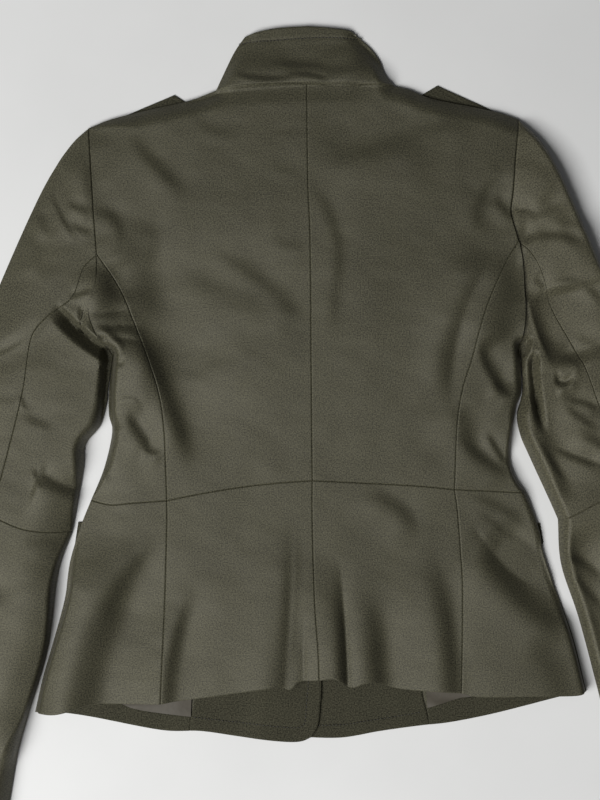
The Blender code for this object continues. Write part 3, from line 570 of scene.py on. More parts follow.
def rough(points: Points, size: float, seed: int) -> Points:
    """Give smooth random heights.

    Args:
        points: Points in the plane.
        size: The distance over which the heights change, in millimetres.
        seed: Which random pattern.

    Returns:
        Heights from about -1 to 1.
    """
    lattice = np.random.default_rng(seed).uniform(-1, 1, (LATTICE_SIZE, LATTICE_SIZE))
    p = points / size + LATTICE_SHIFT
    low = np.floor(p).astype(int)
    f = p - low
    f = f * f * (3 - 2 * f)
    a, b = low[..., 0] % LATTICE_SIZE, low[..., 1] % LATTICE_SIZE
    a1, b1 = (a + 1) % LATTICE_SIZE, (b + 1) % LATTICE_SIZE
    top = lattice[a, b] * (1 - f[..., 0]) + lattice[a1, b] * f[..., 0]
    bottom = lattice[a, b1] * (1 - f[..., 0]) + lattice[a1, b1] * f[..., 0]
    return top * (1 - f[..., 1]) + bottom * f[..., 1]


@dataclass(frozen=True)
class Ripple:
    """One pattern of random unevenness, which may be stretched."""

    height: float
    size: float
    seed: int
    squeeze: tuple[float, float] = (1.0, 1.0)

    def rise(self, points: Points) -> Points:
        """Give the height that the ripple adds at each point."""
        return self.height * rough(points * self.squeeze, self.size, self.seed)


# How many widths away nothing of a fold is left.
FOLD_END = 60.0


@dataclass(frozen=True)
class Fold:
    """One soft trough or ridge of the cloth, along a bowed line, in millimetres."""

    start: tuple[float, float]
    middle: tuple[float, float]
    end: tuple[float, float]
    left: float
    right: float
    height: float
    grows: float = 0.35
    dies: float = 0.35

    def measure(self, points: Points) -> tuple[Points, Points, Points, Points]:
        """Measure how points lie to the fold.

        Args:
            points: Points in the plane.

        Returns:
            Each point's distance as a share of the width, the side it is on, how far the
            fold has faded there, and the width.
        """
        start, end = np.array(self.start, float), np.array(self.end, float)
        length = float(np.linalg.norm(end - start))
        way = (end - start) / length
        across = np.array((-way[1], way[0]))
        bow = np.array(self.middle, float) - start
        top_at, top = bow @ way, bow @ across
        steepness = top / (top_at * (length - top_at))
        off = points - start
        u = off @ way
        inside = np.clip(u, 0, length)
        curve = steepness * inside * (length - inside)
        side = off @ across - curve
        far = np.abs(side) / np.sqrt(1 + (steepness * (length - 2 * inside)) ** 2)
        width = np.where(side > 0, self.right, self.left)
        where = u / length
        fades = step(where / self.grows) * step((1 - where) / self.dies)
        return np.minimum(far / width, FOLD_END), side, fades, width

    def profile(self, share: Points) -> Points:
        """Give the height's share at a distance, which is a share of the width."""
        return np.exp(-share * share)

    def rise(self, points: Points) -> Points:
        """Give the height that the fold adds at each point."""
        share, _, fades, _ = self.measure(points)
        return self.height * self.profile(share) * fades


@dataclass(frozen=True)
class Crease(Fold):
    """A pressed fold: as a fold, but sharp along its line."""

    blunt: float = 0.01

    def profile(self, share: Points) -> Points:
        """Give the height's share at a distance, which is a share of the width."""
        return np.exp(math.sqrt(self.blunt) - np.sqrt(share * share + self.blunt))


@dataclass(frozen=True)
class Pleat(Fold):
    """A fold with straight walls, sharp at its line and at its two edges."""

    top: float = 1.06
    blunt: float = 0.004
    blunt_foot: float = 0.01

    def profile(self, share: Points) -> Points:
        """Give the height's share at a distance, which is a share of the width."""
        left_over = self.top - np.sqrt(share * share + self.blunt)
        return (left_over + np.sqrt(left_over * left_over + self.blunt_foot)) / 2


@dataclass(frozen=True)
class Bend(Fold):
    """A slope between a high right side and a low left side of a line."""

    spread: float = 3.2
    gain: float = 1.6

    def rise(self, points: Points) -> Points:
        """Give the height that the bend adds.

        Args:
            points: Points in the plane.

        Returns:
            The height at each point.
        """
        share, side, fades, width = self.measure(points)
        step_up = np.tanh(share) * np.exp(-((share / self.spread) ** 2))
        return self.gain * self.height * np.sign(side) * width * step_up * fades


@dataclass(frozen=True)
class Pad:
    """A flat-topped rise over something that lies under the cloth."""

    start: tuple[float, float]
    end: tuple[float, float]
    half: float
    height: float
    fade: float

    def rise(self, points: Points) -> Points:
        """Give the pad's height at each point."""
        far = distance(points, np.array((self.start, self.end), float))
        return self.height * (1 - step((far - self.half) / self.fade))


@dataclass
class Lay:
    """How the jacket lies: the height of every layer above the surface."""

    edge_rise: float = 2.2
    body_rise: float = 15.0
    body_form: Line = (
        (0, -1), (60, -1), (130, 0.5), (200, 2.4), (270, 3.4), (330, 1.0), (390, -3.2),
        (440, -5.4), (490, -4.8), (550, -0.5), (600, 2.5), (660, 4.0),
    )
    sleeve_rise: float = 19.0
    collar_rise: float = 6.0
    collar_seam: float = 54.0
    collar_slope: float = 40.0
    sleeve_swell: float = 70.0
    fold_fade: float = 3.0
    overlap_rise: float = 2.8
    overlap_start: float = -66.0
    overlap_ramp: float = 28.0
    ripples: tuple[Ripple, ...] = (
        Ripple(0.60, 62, 3), Ripple(0.36, 27, 5), Ripple(0.22, 10, 7, (0.6, 1.0)),
        Ripple(0.07, 5, 9, (0.6, 1.0)),
    )
    folds: list[Fold] = field(default_factory=lambda: [
        *(Fold(*row) for row in MAIN_FOLDS + FINE_FOLDS),
        *(Crease(*row) for row in CREASES),
        *(Pleat(*row) for row in PLEATS),
        *(Bend(*row) for row in BENDS),
    ])
    button_pad: Pad = Pad(*BUTTON_PAD)
    strap_pads: tuple[Pad, ...] = tuple(Pad(*row) for row in STRAP_PADS)
    flap_pads: tuple[Pad, ...] = tuple(Pad(*row) for row in FLAP_PADS)
    outline: list[tuple[Points, float]] = field(default_factory=list)
    armholes: list[Points] = field(default_factory=list)

    def __post_init__(self) -> None:
        """Draw the outline and the armholes from the tables."""
        for number, half in enumerate(HALVES.values()):
            for name, radii in EDGE_RADII.items():
                self.outline.append((smooth(half[name]), radii[number]))
            self.armholes.append(
                joined(smooth(half["armhole_upper"]), smooth(half["armhole_lower"]))
            )

    def edge_distance(self, points: Points) -> tuple[Points, Points]:
        """Measure how points lie to the edges of the jacket.

        Args:
            points: Points in the plane.

        Returns:
            The distance from the nearest edge, and how full the jacket is there, from 0 at
            an edge to 1 away from them all.
        """
        near = np.full(points.shape[:-1], FAR)
        full = np.ones(points.shape[:-1])
        for line, radius in self.outline:
            far = distance(points, line, radius)
            near = np.minimum(near, far)
            full = np.minimum(full, np.sin(np.clip(far / radius, 0, 1) * math.pi / 2))
        return near, full

    def crumple(self, points: Points) -> Points:
        """Give the slight unevenness of worn cloth, in millimetres."""
        return sum(ripple.rise(points) for ripple in self.ripples)

    def under_sleeve(self, points: Points) -> Points:
        """Height of a sleeve's underside."""
        return np.max([pad.rise(points) for pad in self.strap_pads], axis=0)

    def front(self, points: Points, side: Side = Side.RIGHT) -> Points:
        """Height of a front's underside. The left one lies over the right one's edge.

        Args:
            points: Points in the plane.
            side: Which front.

        Returns:
            The height at each point.
        """
        pads = (self.button_pad, *self.strap_pads, *self.flap_pads)
        rise = np.max([pad.rise(points) for pad in pads], axis=0)
        if side is Side.RIGHT:
            return rise
        past = (points[..., 0] - self.overlap_start) / self.overlap_ramp
        return rise + self.overlap_rise * step(past)

    def upper(self, points: Points, rise: Points | float, lift: Points) -> Points:
        """Height of an upper layer: domed over its edges, with its folds.

        Args:
            points: Points in the plane.
            rise: Its height away from the edges.
            lift: The height of the layer below.

        Returns:
            The height of the outer face.
        """
        near, full = self.edge_distance(points)
        edge = lift + self.edge_rise
        folds = sum(fold.rise(points) for fold in self.folds) + self.crumple(points)
        dome = edge + (rise - edge) * full
        return np.maximum(dome + folds * step(near / self.fold_fade), edge)

    def back(self, points: Points) -> Points:
        """Height of the back, lower at the waist.

        Args:
            points: Points in the plane.

        Returns:
            The height at each point.
        """
        form = smooth(self.body_form)
        rise = self.body_rise + np.interp(points[..., 1], form[:, 0], form[:, 1])
        return self.upper(points, rise, self.front(points))

    def sleeve(self, points: Points) -> Points:
        """Height of a sleeve's upper side, fuller away from the armhole.

        Args:
            points: Points in the plane.

        Returns:
            The height at each point.
        """
        reach = self.sleeve_swell
        far = np.min([distance(points, line, reach) for line in self.armholes], axis=0)
        swell = (self.sleeve_rise - self.body_rise) * step(far / reach)
        return self.upper(points, self.body_rise + swell, self.under_sleeve(points))

    def collar(self, points: Points) -> Points:
        """Height of the collar's back, lower towards its top.

        Args:
            points: Points in the plane.

        Returns:
            The height at each point.
        """
        above = step((self.collar_seam - points[..., 1]) / self.collar_slope)
        rise = self.body_rise + (self.collar_rise - self.body_rise) * above
        return self.upper(points, rise, self.front(points))

    def laid(self, points: Points, lift: Points) -> Points:
        """Height of an under layer's outer face, turned up at the jacket's edge."""
        near, _ = self.edge_distance(points)
        return lift + self.edge_rise * (1 - rounded(near / self.edge_rise))


# ------------------------------------------------------------------------ finishes
def add_node(
    tree: bpy.types.NodeTree,
    kind: str,
    values: dict[str | int, object] | None = None,
    feeds: dict[str | int, bpy.types.NodeSocket] | None = None,
    **settings: object,
) -> bpy.types.Node:
    """Add a node to a tree.

    Args:
        tree: The tree.
        kind: The node's type.
        values: Values of its inputs, by name or number.
        feeds: The sockets that feed its inputs, by name or number.
        settings: Its own properties, such as its operation.

    Returns:
        The node.
    """
    node = tree.nodes.new(kind)
    for name, value in settings.items():
        setattr(node, name, value)
    for name, value in (values or {}).items():
        node.inputs[name].default_value = value
    for name, source in (feeds or {}).items():
        tree.links.new(source, node.inputs[name])
    return node


@dataclass(frozen=True)
class Finish:
    """A material whose colour wanders between two tones."""

    name: str
    dark: Colour
    light: Colour
    rough: float
    specular: float = 0.5

    def start(self) -> tuple[bpy.types.Material, bpy.types.NodeTree, bpy.types.Node]:
        """Start the material.

        Returns:
            The material, its node tree and its shader.
        """
        made = bpy.data.materials.new(self.name)
        made.use_nodes = True
        shader = made.node_tree.nodes["Principled BSDF"]
        shader.inputs["Roughness"].default_value = self.rough
        shader.inputs["Specular IOR Level"].default_value = self.specular
        return made, made.node_tree, shader

    def tone(
        self, tree: bpy.types.NodeTree, shader: bpy.types.Node, share: bpy.types.NodeSocket
    ) -> None:
        """Mix the two tones, and feed the shader's colour.

        Args:
            tree: The material's node tree.
            shader: Its shader.
            share: The share of the light tone at each place.
        """
        mix = add_node(
            tree, "ShaderNodeMix", {"A": (*self.dark, 1), "B": (*self.light, 1)},
            {"Factor": share}, data_type="RGBA",
        )
        tree.links.new(mix.outputs["Result"], shader.inputs["Base Color"])


@dataclass(frozen=True)
class Twill(Finish):
    """Fine twill with a soft sheen."""

    name: str = "twill"
    dark: Colour = (0.0095, 0.0090, 0.0050)
    light: Colour = (0.066, 0.0625, 0.0375)
    rough: float = 0.62
    specular: float = 0.45
    sheen: float = 0.18
    pitch: float = 0.75
    slant: float = 52.0
    fuzz_weight: float = 2.4
    cloud_weight: float = 0.3

    def material(self) -> bpy.types.Material:
        """Build the cloth's nodes.

        Returns:
            A material that reads the piece's grain from its UV map.
        """
        made, tree, shader = self.start()
        for name, value in (
            ("Specular Tint", (1.0, 0.96, 0.82, 1)), ("Sheen Weight", self.sheen),
            ("Sheen Roughness", 0.30), ("Sheen Tint", (0.92, 0.88, 0.78, 1)),
        ):
            shader.inputs[name].default_value = value
        grain = add_node(tree, "ShaderNodeUVMap", uv_map="grain").outputs["UV"]
        turn = add_node(
            tree, "ShaderNodeMapping", {"Rotation": (0, 0, math.radians(self.slant))},
            {"Vector": grain},
        )
        # A wave texture repeats every pi / (10 * scale).
        scale = math.pi / (10 * self.pitch * MM)
        wave = add_node(
            tree, "ShaderNodeTexWave",
            {"Scale": scale, "Distortion": 1.5, "Detail": 1.0, "Detail Scale": 2.0},
            {"Vector": turn.outputs["Vector"]},
        )
        fuzz = add_node(
            tree, "ShaderNodeTexNoise", {"Scale": 820.0, "Detail": 2.0}, {"Vector": grain}
        )
        cloud = add_node(
            tree, "ShaderNodeTexNoise", {"Scale": 30.0, "Detail": 5.0}, {"Vector": grain}
        )
        soft = add_node(
            tree, "ShaderNodeMath", {1: self.cloud_weight}, {0: cloud.outputs["Fac"]},
            operation="MULTIPLY",
        )
        both = add_node(
            tree, "ShaderNodeMath", {1: self.fuzz_weight},
            {0: fuzz.outputs["Fac"], 2: soft.outputs[0]}, operation="MULTIPLY_ADD",
        )
        share = add_node(
            tree, "ShaderNodeMapRange", {"From Min": 0.93, "From Max": 1.77},
            {"Value": both.outputs[0]},
        )
        self.tone(tree, shader, share.outputs["Result"])
        ribs = add_node(
            tree, "ShaderNodeBump", {"Strength": 0.35, "Distance": 0.00012},
            {"Height": wave.outputs["Fac"]},
        )
        nap = add_node(
            tree, "ShaderNodeBump", {"Strength": 0.6, "Distance": 0.0003},
            {"Height": fuzz.outputs["Fac"], "Normal": ribs.outputs["Normal"]},
        )
        tree.links.new(nap.outputs["Normal"], shader.inputs["Normal"])
        return made


@dataclass(frozen=True)
class Satin(Finish):
    """Smooth wrinkled lining."""

    name: str = "satin"
    dark: Colour = (0.0492, 0.04346, 0.0328)
    light: Colour = (0.069, 0.06095, 0.046)
    rough: float = 0.55
    specular: float = 0.25

    def material(self) -> bpy.types.Material:
        """Build the lining's nodes.

        Returns:
            A material that reads the piece's grain from its UV map.
        """
        made, tree, shader = self.start()
        shader.inputs["Anisotropic"].default_value = 0.4
        grain = add_node(tree, "ShaderNodeUVMap", uv_map="grain")
        weave = add_node(
            tree, "ShaderNodeTexNoise", {"Scale": 260.0, "Detail": 4.0},
            {"Vector": grain.outputs["UV"]},
        ).outputs["Fac"]
        self.tone(tree, shader, weave)
        bump = add_node(
            tree, "ShaderNodeBump", {"Strength": 0.3, "Distance": 0.0004}, {"Height": weave}
        )
        tree.links.new(bump.outputs["Normal"], shader.inputs["Normal"])
        return made


@dataclass(frozen=True)
class Speckled(Finish):
    """A plain finish, speckled through the object's own space."""

    scale: float = 1500.0
    detail: float = 2.0
    streaks: float = 0.0
    gloss: tuple[float, float] | None = None

    def material(self) -> bpy.types.Material:
        """Build the speckled finish's nodes.

        Returns:
            A material that needs no UV map.
        """
        made, tree, shader = self.start()
        place = add_node(tree, "ShaderNodeTexCoord")
        speckle = add_node(
            tree, "ShaderNodeTexNoise",
            {"Scale": self.scale, "Detail": self.detail, "Distortion": self.streaks},
            {"Vector": place.outputs["Object"]},
        ).outputs["Fac"]
        self.tone(tree, shader, speckle)
        if self.gloss:
            gloss = add_node(
                tree, "ShaderNodeMapRange", {"To Min": self.gloss[0], "To Max": self.gloss[1]},
                {"Value": speckle},
            )
            tree.links.new(gloss.outputs["Result"], shader.inputs["Roughness"])
        return made


TWILL = Twill()
# The inside of the cloth is duller. Its darker colour is painted shade: the facings and turn-ups
# under the back's hem, and the straps and flaps under the jacket's edges.
SHADED_INSIDE_TWILL = Twill("twill_inside_painted_shade", (0.008, 0.0077, 0.0044), (0.050, 0.0475, 0.030), 0.8, 0.2, 0.05)
# The sleeves' cloth is a little lighter, most of all on the right: painted light, for the sheen and
# bounced light that the sleeves catch.
LIT_SLEEVE_TWILLS = {
    Side.LEFT: Twill("twill_sleeve_painted_light_L", (0.0100, 0.0095, 0.0053), (0.0700, 0.0662, 0.0400)),
    Side.RIGHT: Twill("twill_sleeve_painted_light_R", (0.0125, 0.0117, 0.0066), (0.0850, 0.0795, 0.0490)),
}
THREAD = Speckled("thread", (0.0063, 0.0056, 0.0035), (0.0108, 0.0096, 0.0060), 0.5)
HORN = Speckled(
    "horn", (0.030, 0.024, 0.018), (0.078, 0.0624, 0.0468), 0.5, scale=130.0, streaks=2.0,
    gloss=(0.25, 0.45),
)
PALE_FLOOR = Speckled(
    "pale_floor", (0.55, 0.55, 0.543), (0.65, 0.65, 0.642), 0.7, 0.2, scale=5.0, detail=5.0
)


# --------------------------------------------------------------------------- meshes
def centre_of_tables() -> Points:
    """Find the middle of the whole outline.

    Returns:
        Its place, in the tables' millimetres.
    """
    names = (*EDGE_RADII, "collar_top")
    stacked = np.vstack([smooth(half[name]) for half in HALVES.values() for name in names])
    return (stacked.min(axis=0) + stacked.max(axis=0)) / 2


CENTRE = centre_of_tables()


def to_world(points: Points) -> Points:
    """Turn table points with heights into metres, with +Y towards the collar."""
    return (points - (*CENTRE, 0.0)) * (1, -1, 1) * MM


def with_heights(plane: Points, heights: Points) -> Points:
    """Put the points of the plane at their heights."""
    return np.concatenate((plane, heights[..., None]), axis=-1)


def add_grain(mesh: bpy.types.Mesh, plane: Points, turn: float = 0.0) -> None:
    """Lay the cloth's grain along a piece, as a UV map in metres.

    Args:
        mesh: The piece's mesh.
        plane: Each vertex's place in the tables' plane.
        turn: How far the grain is turned, in radians.
    """
    c, s = math.cos(turn), math.sin(turn)
    grain = plane @ np.array(((c, s), (-s, c))) * MM
    loops = np.empty(len(mesh.loops), dtype=np.int64)
    mesh.loops.foreach_get("vertex_index", loops)
    layer = mesh.uv_layers.new(name="grain")
    layer.data.foreach_set("uv", grain[loops].astype(np.float32).ravel())


def put_in_scene(
    mesh: bpy.types.Mesh, finish: bpy.types.Material, sharp: float | None = None
) -> bpy.types.Object:
    """Make an object of a mesh, with its finish and soft shading.

    Args:
        mesh: The mesh.
        finish: Its finish, where it has none yet.
        sharp: The angle from which an edge stays sharp, in degrees.

    Returns:
        The object.
    """
    if not mesh.materials:
        mesh.materials.append(finish)
    mesh.shade_smooth()
    if sharp:
        mesh.set_sharp_from_angle(angle=math.radians(sharp))
    made = bpy.data.objects.new(mesh.name, mesh)
    bpy.context.scene.collection.objects.link(made)
    return made


def loft(name: str, planes: list[Points], heights: list[float]) -> bpy.types.Mesh:
    """Close a stack of rings into one mesh that faces outwards.

    Args:
        name: The mesh's name.
        planes: The rings in the plane, from one end of the stack to the other.
        heights: The height of each.

    Returns:
        The mesh.
    """
    rings = np.stack([
        with_heights(ring, np.full(len(ring), height)) for ring, height in zip(planes, heights)
    ])
    index = np.arange(rings.shape[0] * rings.shape[1]).reshape(rings.shape[:2])
    around = np.roll(index, -1, axis=1)
    quads = np.stack((index[:-1], around[:-1], around[1:], index[1:]), axis=-1)
    faces = [*quads.reshape(-1, 4).tolist(), index[0][::-1].tolist(), index[-1].tolist()]
    mesh = bpy.data.meshes.new(name)
    mesh.from_pydata(to_world(rings.reshape(-1, 3)).tolist(), [], faces)
    mesh.update()
    upper_cap = mesh.polygons[-1 if heights[-1] > heights[0] else -2]
    if upper_cap.normal.z < 0:
        mesh.flip_normals()
    return mesh


@dataclass(frozen=True)
class Roll:
    """How cloth rolls down at a line: how deep and over how far, in millimetres."""

    depth: float
    reach: float

    def drop(self, far: Points) -> Points:
        """Give how far the cloth drops at a distance from the line."""
        return self.depth * np.exp(-((far / self.reach) ** 2))


SEAM = Roll(0.8, 0.42)
DEEP_SEAM = Roll(1.5, 0.8)
HEM = Roll(0.5, 0.6)
FLAT = Roll(0.0, 1.0)
# The groove that a row of stitches draws into the cloth, and how far off it has ended.
GROOVE = Roll(0.55, 1.0)
GROOVE_END = 8.0


def stitched_groove(points: Points, row: Points) -> Points:
    """Give how deep a row of stitches draws the cloth in, at points in the plane."""
    return GROOVE.drop(distance(points, row, GROOVE_END))


@dataclass
class Cloth:
    """A solid's cut piece of cloth, made as a closed thin wall behind a grid of points."""

    node: str
    grid: Points
    finish: bpy.types.Material
    thick: float = WALL
    raised: bool = True
    turn: float = 0.0
    slot: Slot = Slot.CLOTH
    sharp: float = 60.0
    merged_digits: int = 7

    def roll(self, first: Roll, last: Roll, start: Roll, end: Roll) -> "Cloth":
        """Roll the four borders of a raised piece down into their seams.

        Args:
            first: The roll at the first row.
            last: The roll at the last row.
            start: The roll at the first column.
            end: The roll at the last column.

        Returns:
            The same piece.
        """
        plane = self.grid[..., :2].copy()
        borders = (
            (first, plane[:1]), (last, plane[-1:]), (start, plane[:, :1]), (end, plane[:, -1:]),
        )
        for roll, border in borders:
            self.grid[..., 2] -= roll.drop(np.linalg.norm(plane - border, axis=-1))
        return self

    def outward(self) -> Points:
        """Find which way is outwards.

        Returns:
            A direction at each point of the grid.
        """
        out = np.cross(np.gradient(self.grid, axis=1), np.gradient(self.grid, axis=0))
        size = np.linalg.norm(out, axis=-1, keepdims=True)
        small = size[..., 0] < SMALL_AREA
        out = out / np.maximum(size, TINY)
        out[small] = out[~small].mean(axis=0)
        top = np.unravel_index(np.argmax(self.grid[..., 2]), self.grid.shape[:2])
        if (out[top][2] > 0) != self.raised:
            out = -out
        return out / np.maximum(np.linalg.norm(out, axis=-1, keepdims=True), TINY)

    def winds_down(self, places: Points, quads: Points) -> bool:
        """Tell whether the outer faces wind the wrong way round.

        Args:
            places: The wall's points, in metres.
            quads: The outer faces, as numbers of points.

        Returns:
            Whether they do.
        """
        a, b, d = (places[quads[:, k]] for k in (0, 1, 3))
        out = self.outward()[:-1, :-1].reshape(-1, 3) * (1, -1, 1)
        return float((np.cross(b - a, d - a) * out).sum()) < 0

    def build(self) -> bpy.types.Object:
        """Make the wall's mesh, with its grain.

        Returns:
            The new object, in the scene.
        """
        rows, columns = self.grid.shape[:2]
        count = rows * columns
        inner = self.grid - self.outward() * self.thick
        inner[..., 2] = np.maximum(inner[..., 2], 0.0)
        places = to_world(np.concatenate((self.grid.reshape(-1, 3), inner.reshape(-1, 3))))
        index = np.arange(count).reshape(rows, columns)
        quads = np.stack((index[:-1, :-1], index[:-1, 1:], index[1:, 1:], index[1:, :-1]), -1)
        quads = quads.reshape(-1, 4)
        rim = np.concatenate((index[0], index[1:, -1], index[-1, -2::-1], index[-2:0:-1, 0]))
        after = np.roll(rim, -1)
        sides = np.stack((after, rim, rim + count, after + count), axis=-1)
        faces = np.concatenate((quads, quads[:, ::-1] + count, sides))
        if self.winds_down(places, quads):
            faces = faces[:, ::-1]
        # Points that fall together, as where two borders meet in a point, become one.
        _, keep, same = np.unique(
            np.round(places, self.merged_digits), axis=0, return_index=True, return_inverse=True
        )
        loops = [list(dict.fromkeys(face)) for face in same.reshape(-1)[faces].tolist()]
        mesh = bpy.data.meshes.new(f"sewn_{self.node}")
        mesh.from_pydata(places[keep].tolist(), [], [face for face in loops if len(face) > 2])
        mesh.update()
        plane = np.tile(self.grid[..., :2].reshape(-1, 2), (2, 1))[keep]
        add_grain(mesh, plane, self.turn)
        return put_in_scene(mesh, self.finish, self.sharp)


def finish_piece(made: bpy.types.Object, nodes: tuple[str, ...] = ()) -> None:
    """Let a piece ride on the jacket, and stand for its solids.

    Args:
        made: The piece.
        nodes: The solids that it replaces.
    """
    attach(made, BODY)
    if nodes:
        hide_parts(*nodes)


def sew_in(cloth: Cloth) -> None:
    """Build a cut piece and put it in its solid's place.

    Args:
        cloth: The piece.
    """
    made = cloth.build()
    finish_piece(made, (cloth.node,))


# --------------------------------------------------------------------- sub-assemblies
@dataclass
class SidePart:
    """Part of one side of the jacket."""

    side: Side
    lay: Lay
    cloth: bpy.types.Material

    @property
    def half(self) -> dict[str, Line]:
        """Give the tables of this side."""
        return HALVES[self.side]

    @property
    def tag(self) -> str:
        """Give the letter of this side in names."""
        return self.side.value


@dataclass
class Back(SidePart):
    """The back on one side: centre and side panels, above and below the waist."""

    pitch: float = 1.85

    def plane_grids(self) -> dict[str, Points]:
        """Lay out the four panels.

        Returns:
            Each panel's grid in the plane, by its solid's name.
        """
        half = self.half
        arm_upper, arm_lower, shoulder = (
            lined(half[name], self.pitch, last=False)
            for name in ("armhole_upper", "armhole_lower", "shoulder")
        )
        outside = joined(arm_lower, lined(half["side"], self.pitch, first=False))
        princess = sample(half["princess"], along(outside))
        top = joined(shoulder, lined(half["neck"], self.pitch, first=False))
        start = joined(arm_upper, princess)
        waist_centre = sample(half["waist_centre"], along(top))
        waist_side = lined(half["waist_side"], self.pitch)
        seam = lined(half["princess_peplum"], self.pitch)
        return {
            "back_centre": patch(top, waist_centre, start, sample(half["centre"], along(start))),
            "back_side": patch(
                np.repeat(arm_lower[:1], len(waist_side), axis=0), waist_side, outside, princess
            ),
            "back_peplum_centre": patch(
                waist_centre, sample(half["hem_centre"], along(waist_centre)), seam,
                sample(half["centre_peplum"], along(seam)),
            ),
            "back_peplum_side": patch(
                waist_side, sample(half["hem_side"], along(waist_side)),
                sample(half["side_peplum"], along(seam)), seam,
            ),
        }

    def build(self) -> None:
        """Make, roll and sew in the panels."""
        rolls = {
            "back_centre": (FLAT, SEAM, SEAM, SEAM),
            "back_side": (FLAT, SEAM, FLAT, SEAM),
            "back_peplum_centre": (SEAM, HEM, SEAM, SEAM),
            "back_peplum_side": (SEAM, HEM, FLAT, SEAM),
        }
        for name, plane in self.plane_grids().items():
            grid = with_heights(plane, self.lay.back(plane))
            cloth = Cloth(f"{name}_{self.tag}", grid, self.cloth).roll(*rolls[name])
            sew_in(cloth)


# How uneven the pieces inside a front are, in millimetres.
UNEVENNESS = {"front_facing": 0.15, "front_turn_up": 0.25, "lining_hem": 2.4}


@dataclass
class Front(SidePart):
    """A front on one side, above and below the waist, with what shows inside it."""

    # The duller inside twill, whose darker colour is painted shade under the back's hem.
    inside: bpy.types.Material
    satin: bpy.types.Material
    pitch: float = 5.0
    inside_pitch: float = 2.2
    inside_top: float = 548.0
    inside_margin: float = 7.0
    facing_width: float = 108.0
    turn_up_depth: float = 30.0
    lining_depth: float = 40.0
    ripple: Ripple = Ripple(1.0, 14, 21, (0.7, 1.8))

    def lift(self, points: Points) -> Points:
        """Height of this front's underside."""
        return self.lay.front(points, self.side)

    def on_front(self, plane: Points, uneven: float) -> Points:
        """Put a piece on the front, with a slight unevenness.

        Args:
            plane: The piece's grid in the plane.
            uneven: How uneven it is, in millimetres.

        Returns:
            The grid with its heights.
        """
        rise = self.lift(plane) + WALL + LAYER_GAP + THIN_WALL
        return with_heights(plane, rise + uneven * (1 + self.ripple.rise(plane)) / 2)

    def build(self) -> None:
        """Make and sew in the front, its peplum and what lies on it."""
        half = self.half
        top = joined(
            lined(half["shoulder"], self.pitch, last=False),
            lined(half["front_collar_neck"], self.pitch, first=False),
        )
        outside = joined(
            lined(half["armhole_upper"], self.pitch, last=False),
            lined(half["armhole_lower"], self.pitch, first=False, last=False),
            lined(half["side"], self.pitch, first=False),
        )
        top = np.vstack((top, half["front_edge"][0]))
        waist = sample(half["front_waist"], along(top))
        edge = sample(half["front_edge"], along(outside))
        side = lined(half["front_side_peplum"], self.pitch)
        hem = sample(half["front_hem"], along(waist))
        front = patch(top, waist, outside, edge)
        peplum = patch(waist, hem, side, sample(half["front_edge_peplum"], along(side)))
        for name, grid in (
            ("front", with_heights(front, self.lay.laid(front, self.lift(front)))),
            ("front_peplum", with_heights(peplum, self.lift(peplum))),
        ):
            sew_in(Cloth(f"{name}_{self.tag}", grid, self.cloth, raised=False))
        self.build_inside()

    def inside_planes(self) -> dict[str, Points]:
        """Lay out what shows inside the front, as grids in the plane.

        Returns:
            The grids of the facing, the hem turn-up and the lining.
        """
        half = self.half
        left = self.side is Side.LEFT
        inwards = np.array((self.inside_margin if left else -self.inside_margin, 0))
        side_line, hem, edge = (
            half[name] for name in ("front_side_peplum", "front_hem", "front_edge_peplum")
        )
        hem_at = share_at(hem, 0, half["facing_edge"][-1][0])
        facing_side = lined(half["facing_edge"], self.inside_pitch)
        facing_side[-1] = sample(hem, np.array([hem_at]))[0]
        edge_from = share_at(edge, 1, self.inside_top)
        facing_front = sample(edge, edge_from + along(facing_side) * (1 - edge_from))
        across = spaced(self.facing_width, self.inside_pitch)
        facing_hem = sample(hem, hem_at + across * (1 - hem_at))
        facing_top = straight(facing_side[0], facing_front[0], across)
        turn_line = lined(half["turn_up_top"], self.inside_pitch)
        turn_at = share_at(side_line, 1, turn_line[0][1])
        turn_line[0] = sample(side_line, np.array([turn_at]))[0] + inwards
        down = spaced(self.turn_up_depth, self.inside_pitch)
        turn_side = sample(side_line, turn_at + down * (1 - turn_at)) + inwards
        turn_hem = sample(hem, along(turn_line) * hem_at)
        turn_hem[0] += inwards
        turn_end = straight(turn_line[-1], turn_hem[-1], down)
        top_at = share_at(side_line, 1, self.inside_top)
        down = spaced(self.lining_depth, self.inside_pitch)
        lining_side = sample(side_line, top_at + down * (turn_at - top_at)) + inwards
        lining_top = straight(lining_side[0], facing_side[0], along(turn_line))
        lining_end = straight(facing_side[0], turn_line[-1], down)
        return {
            "front_facing": patch(facing_top, facing_hem, facing_side, facing_front),
            "front_turn_up": patch(turn_line, turn_hem, turn_side, turn_end),
            "lining_hem": patch(lining_top, turn_line, lining_side, lining_end),
        }

    def build_inside(self) -> None:
        """Make the facing, the hem turn-up and the lining where they show."""
        for name, plane in self.inside_planes().items():
            lining = name == "lining_hem"
            grid = self.on_front(plane, UNEVENNESS[name])
            if name == "front_facing":
                grid[..., 2] -= stitched_groove(plane, smooth(FRONT_ROWS[self.side]))
            piece = Cloth(
                f"{name}_{self.tag}", grid, self.satin if lining else self.inside, THIN_WALL,
                slot=Slot.LINING if lining else Slot.CLOTH,
            )
            if not lining:
                piece.roll(HEM, HEM, HEM, HEM)
            sew_in(piece)


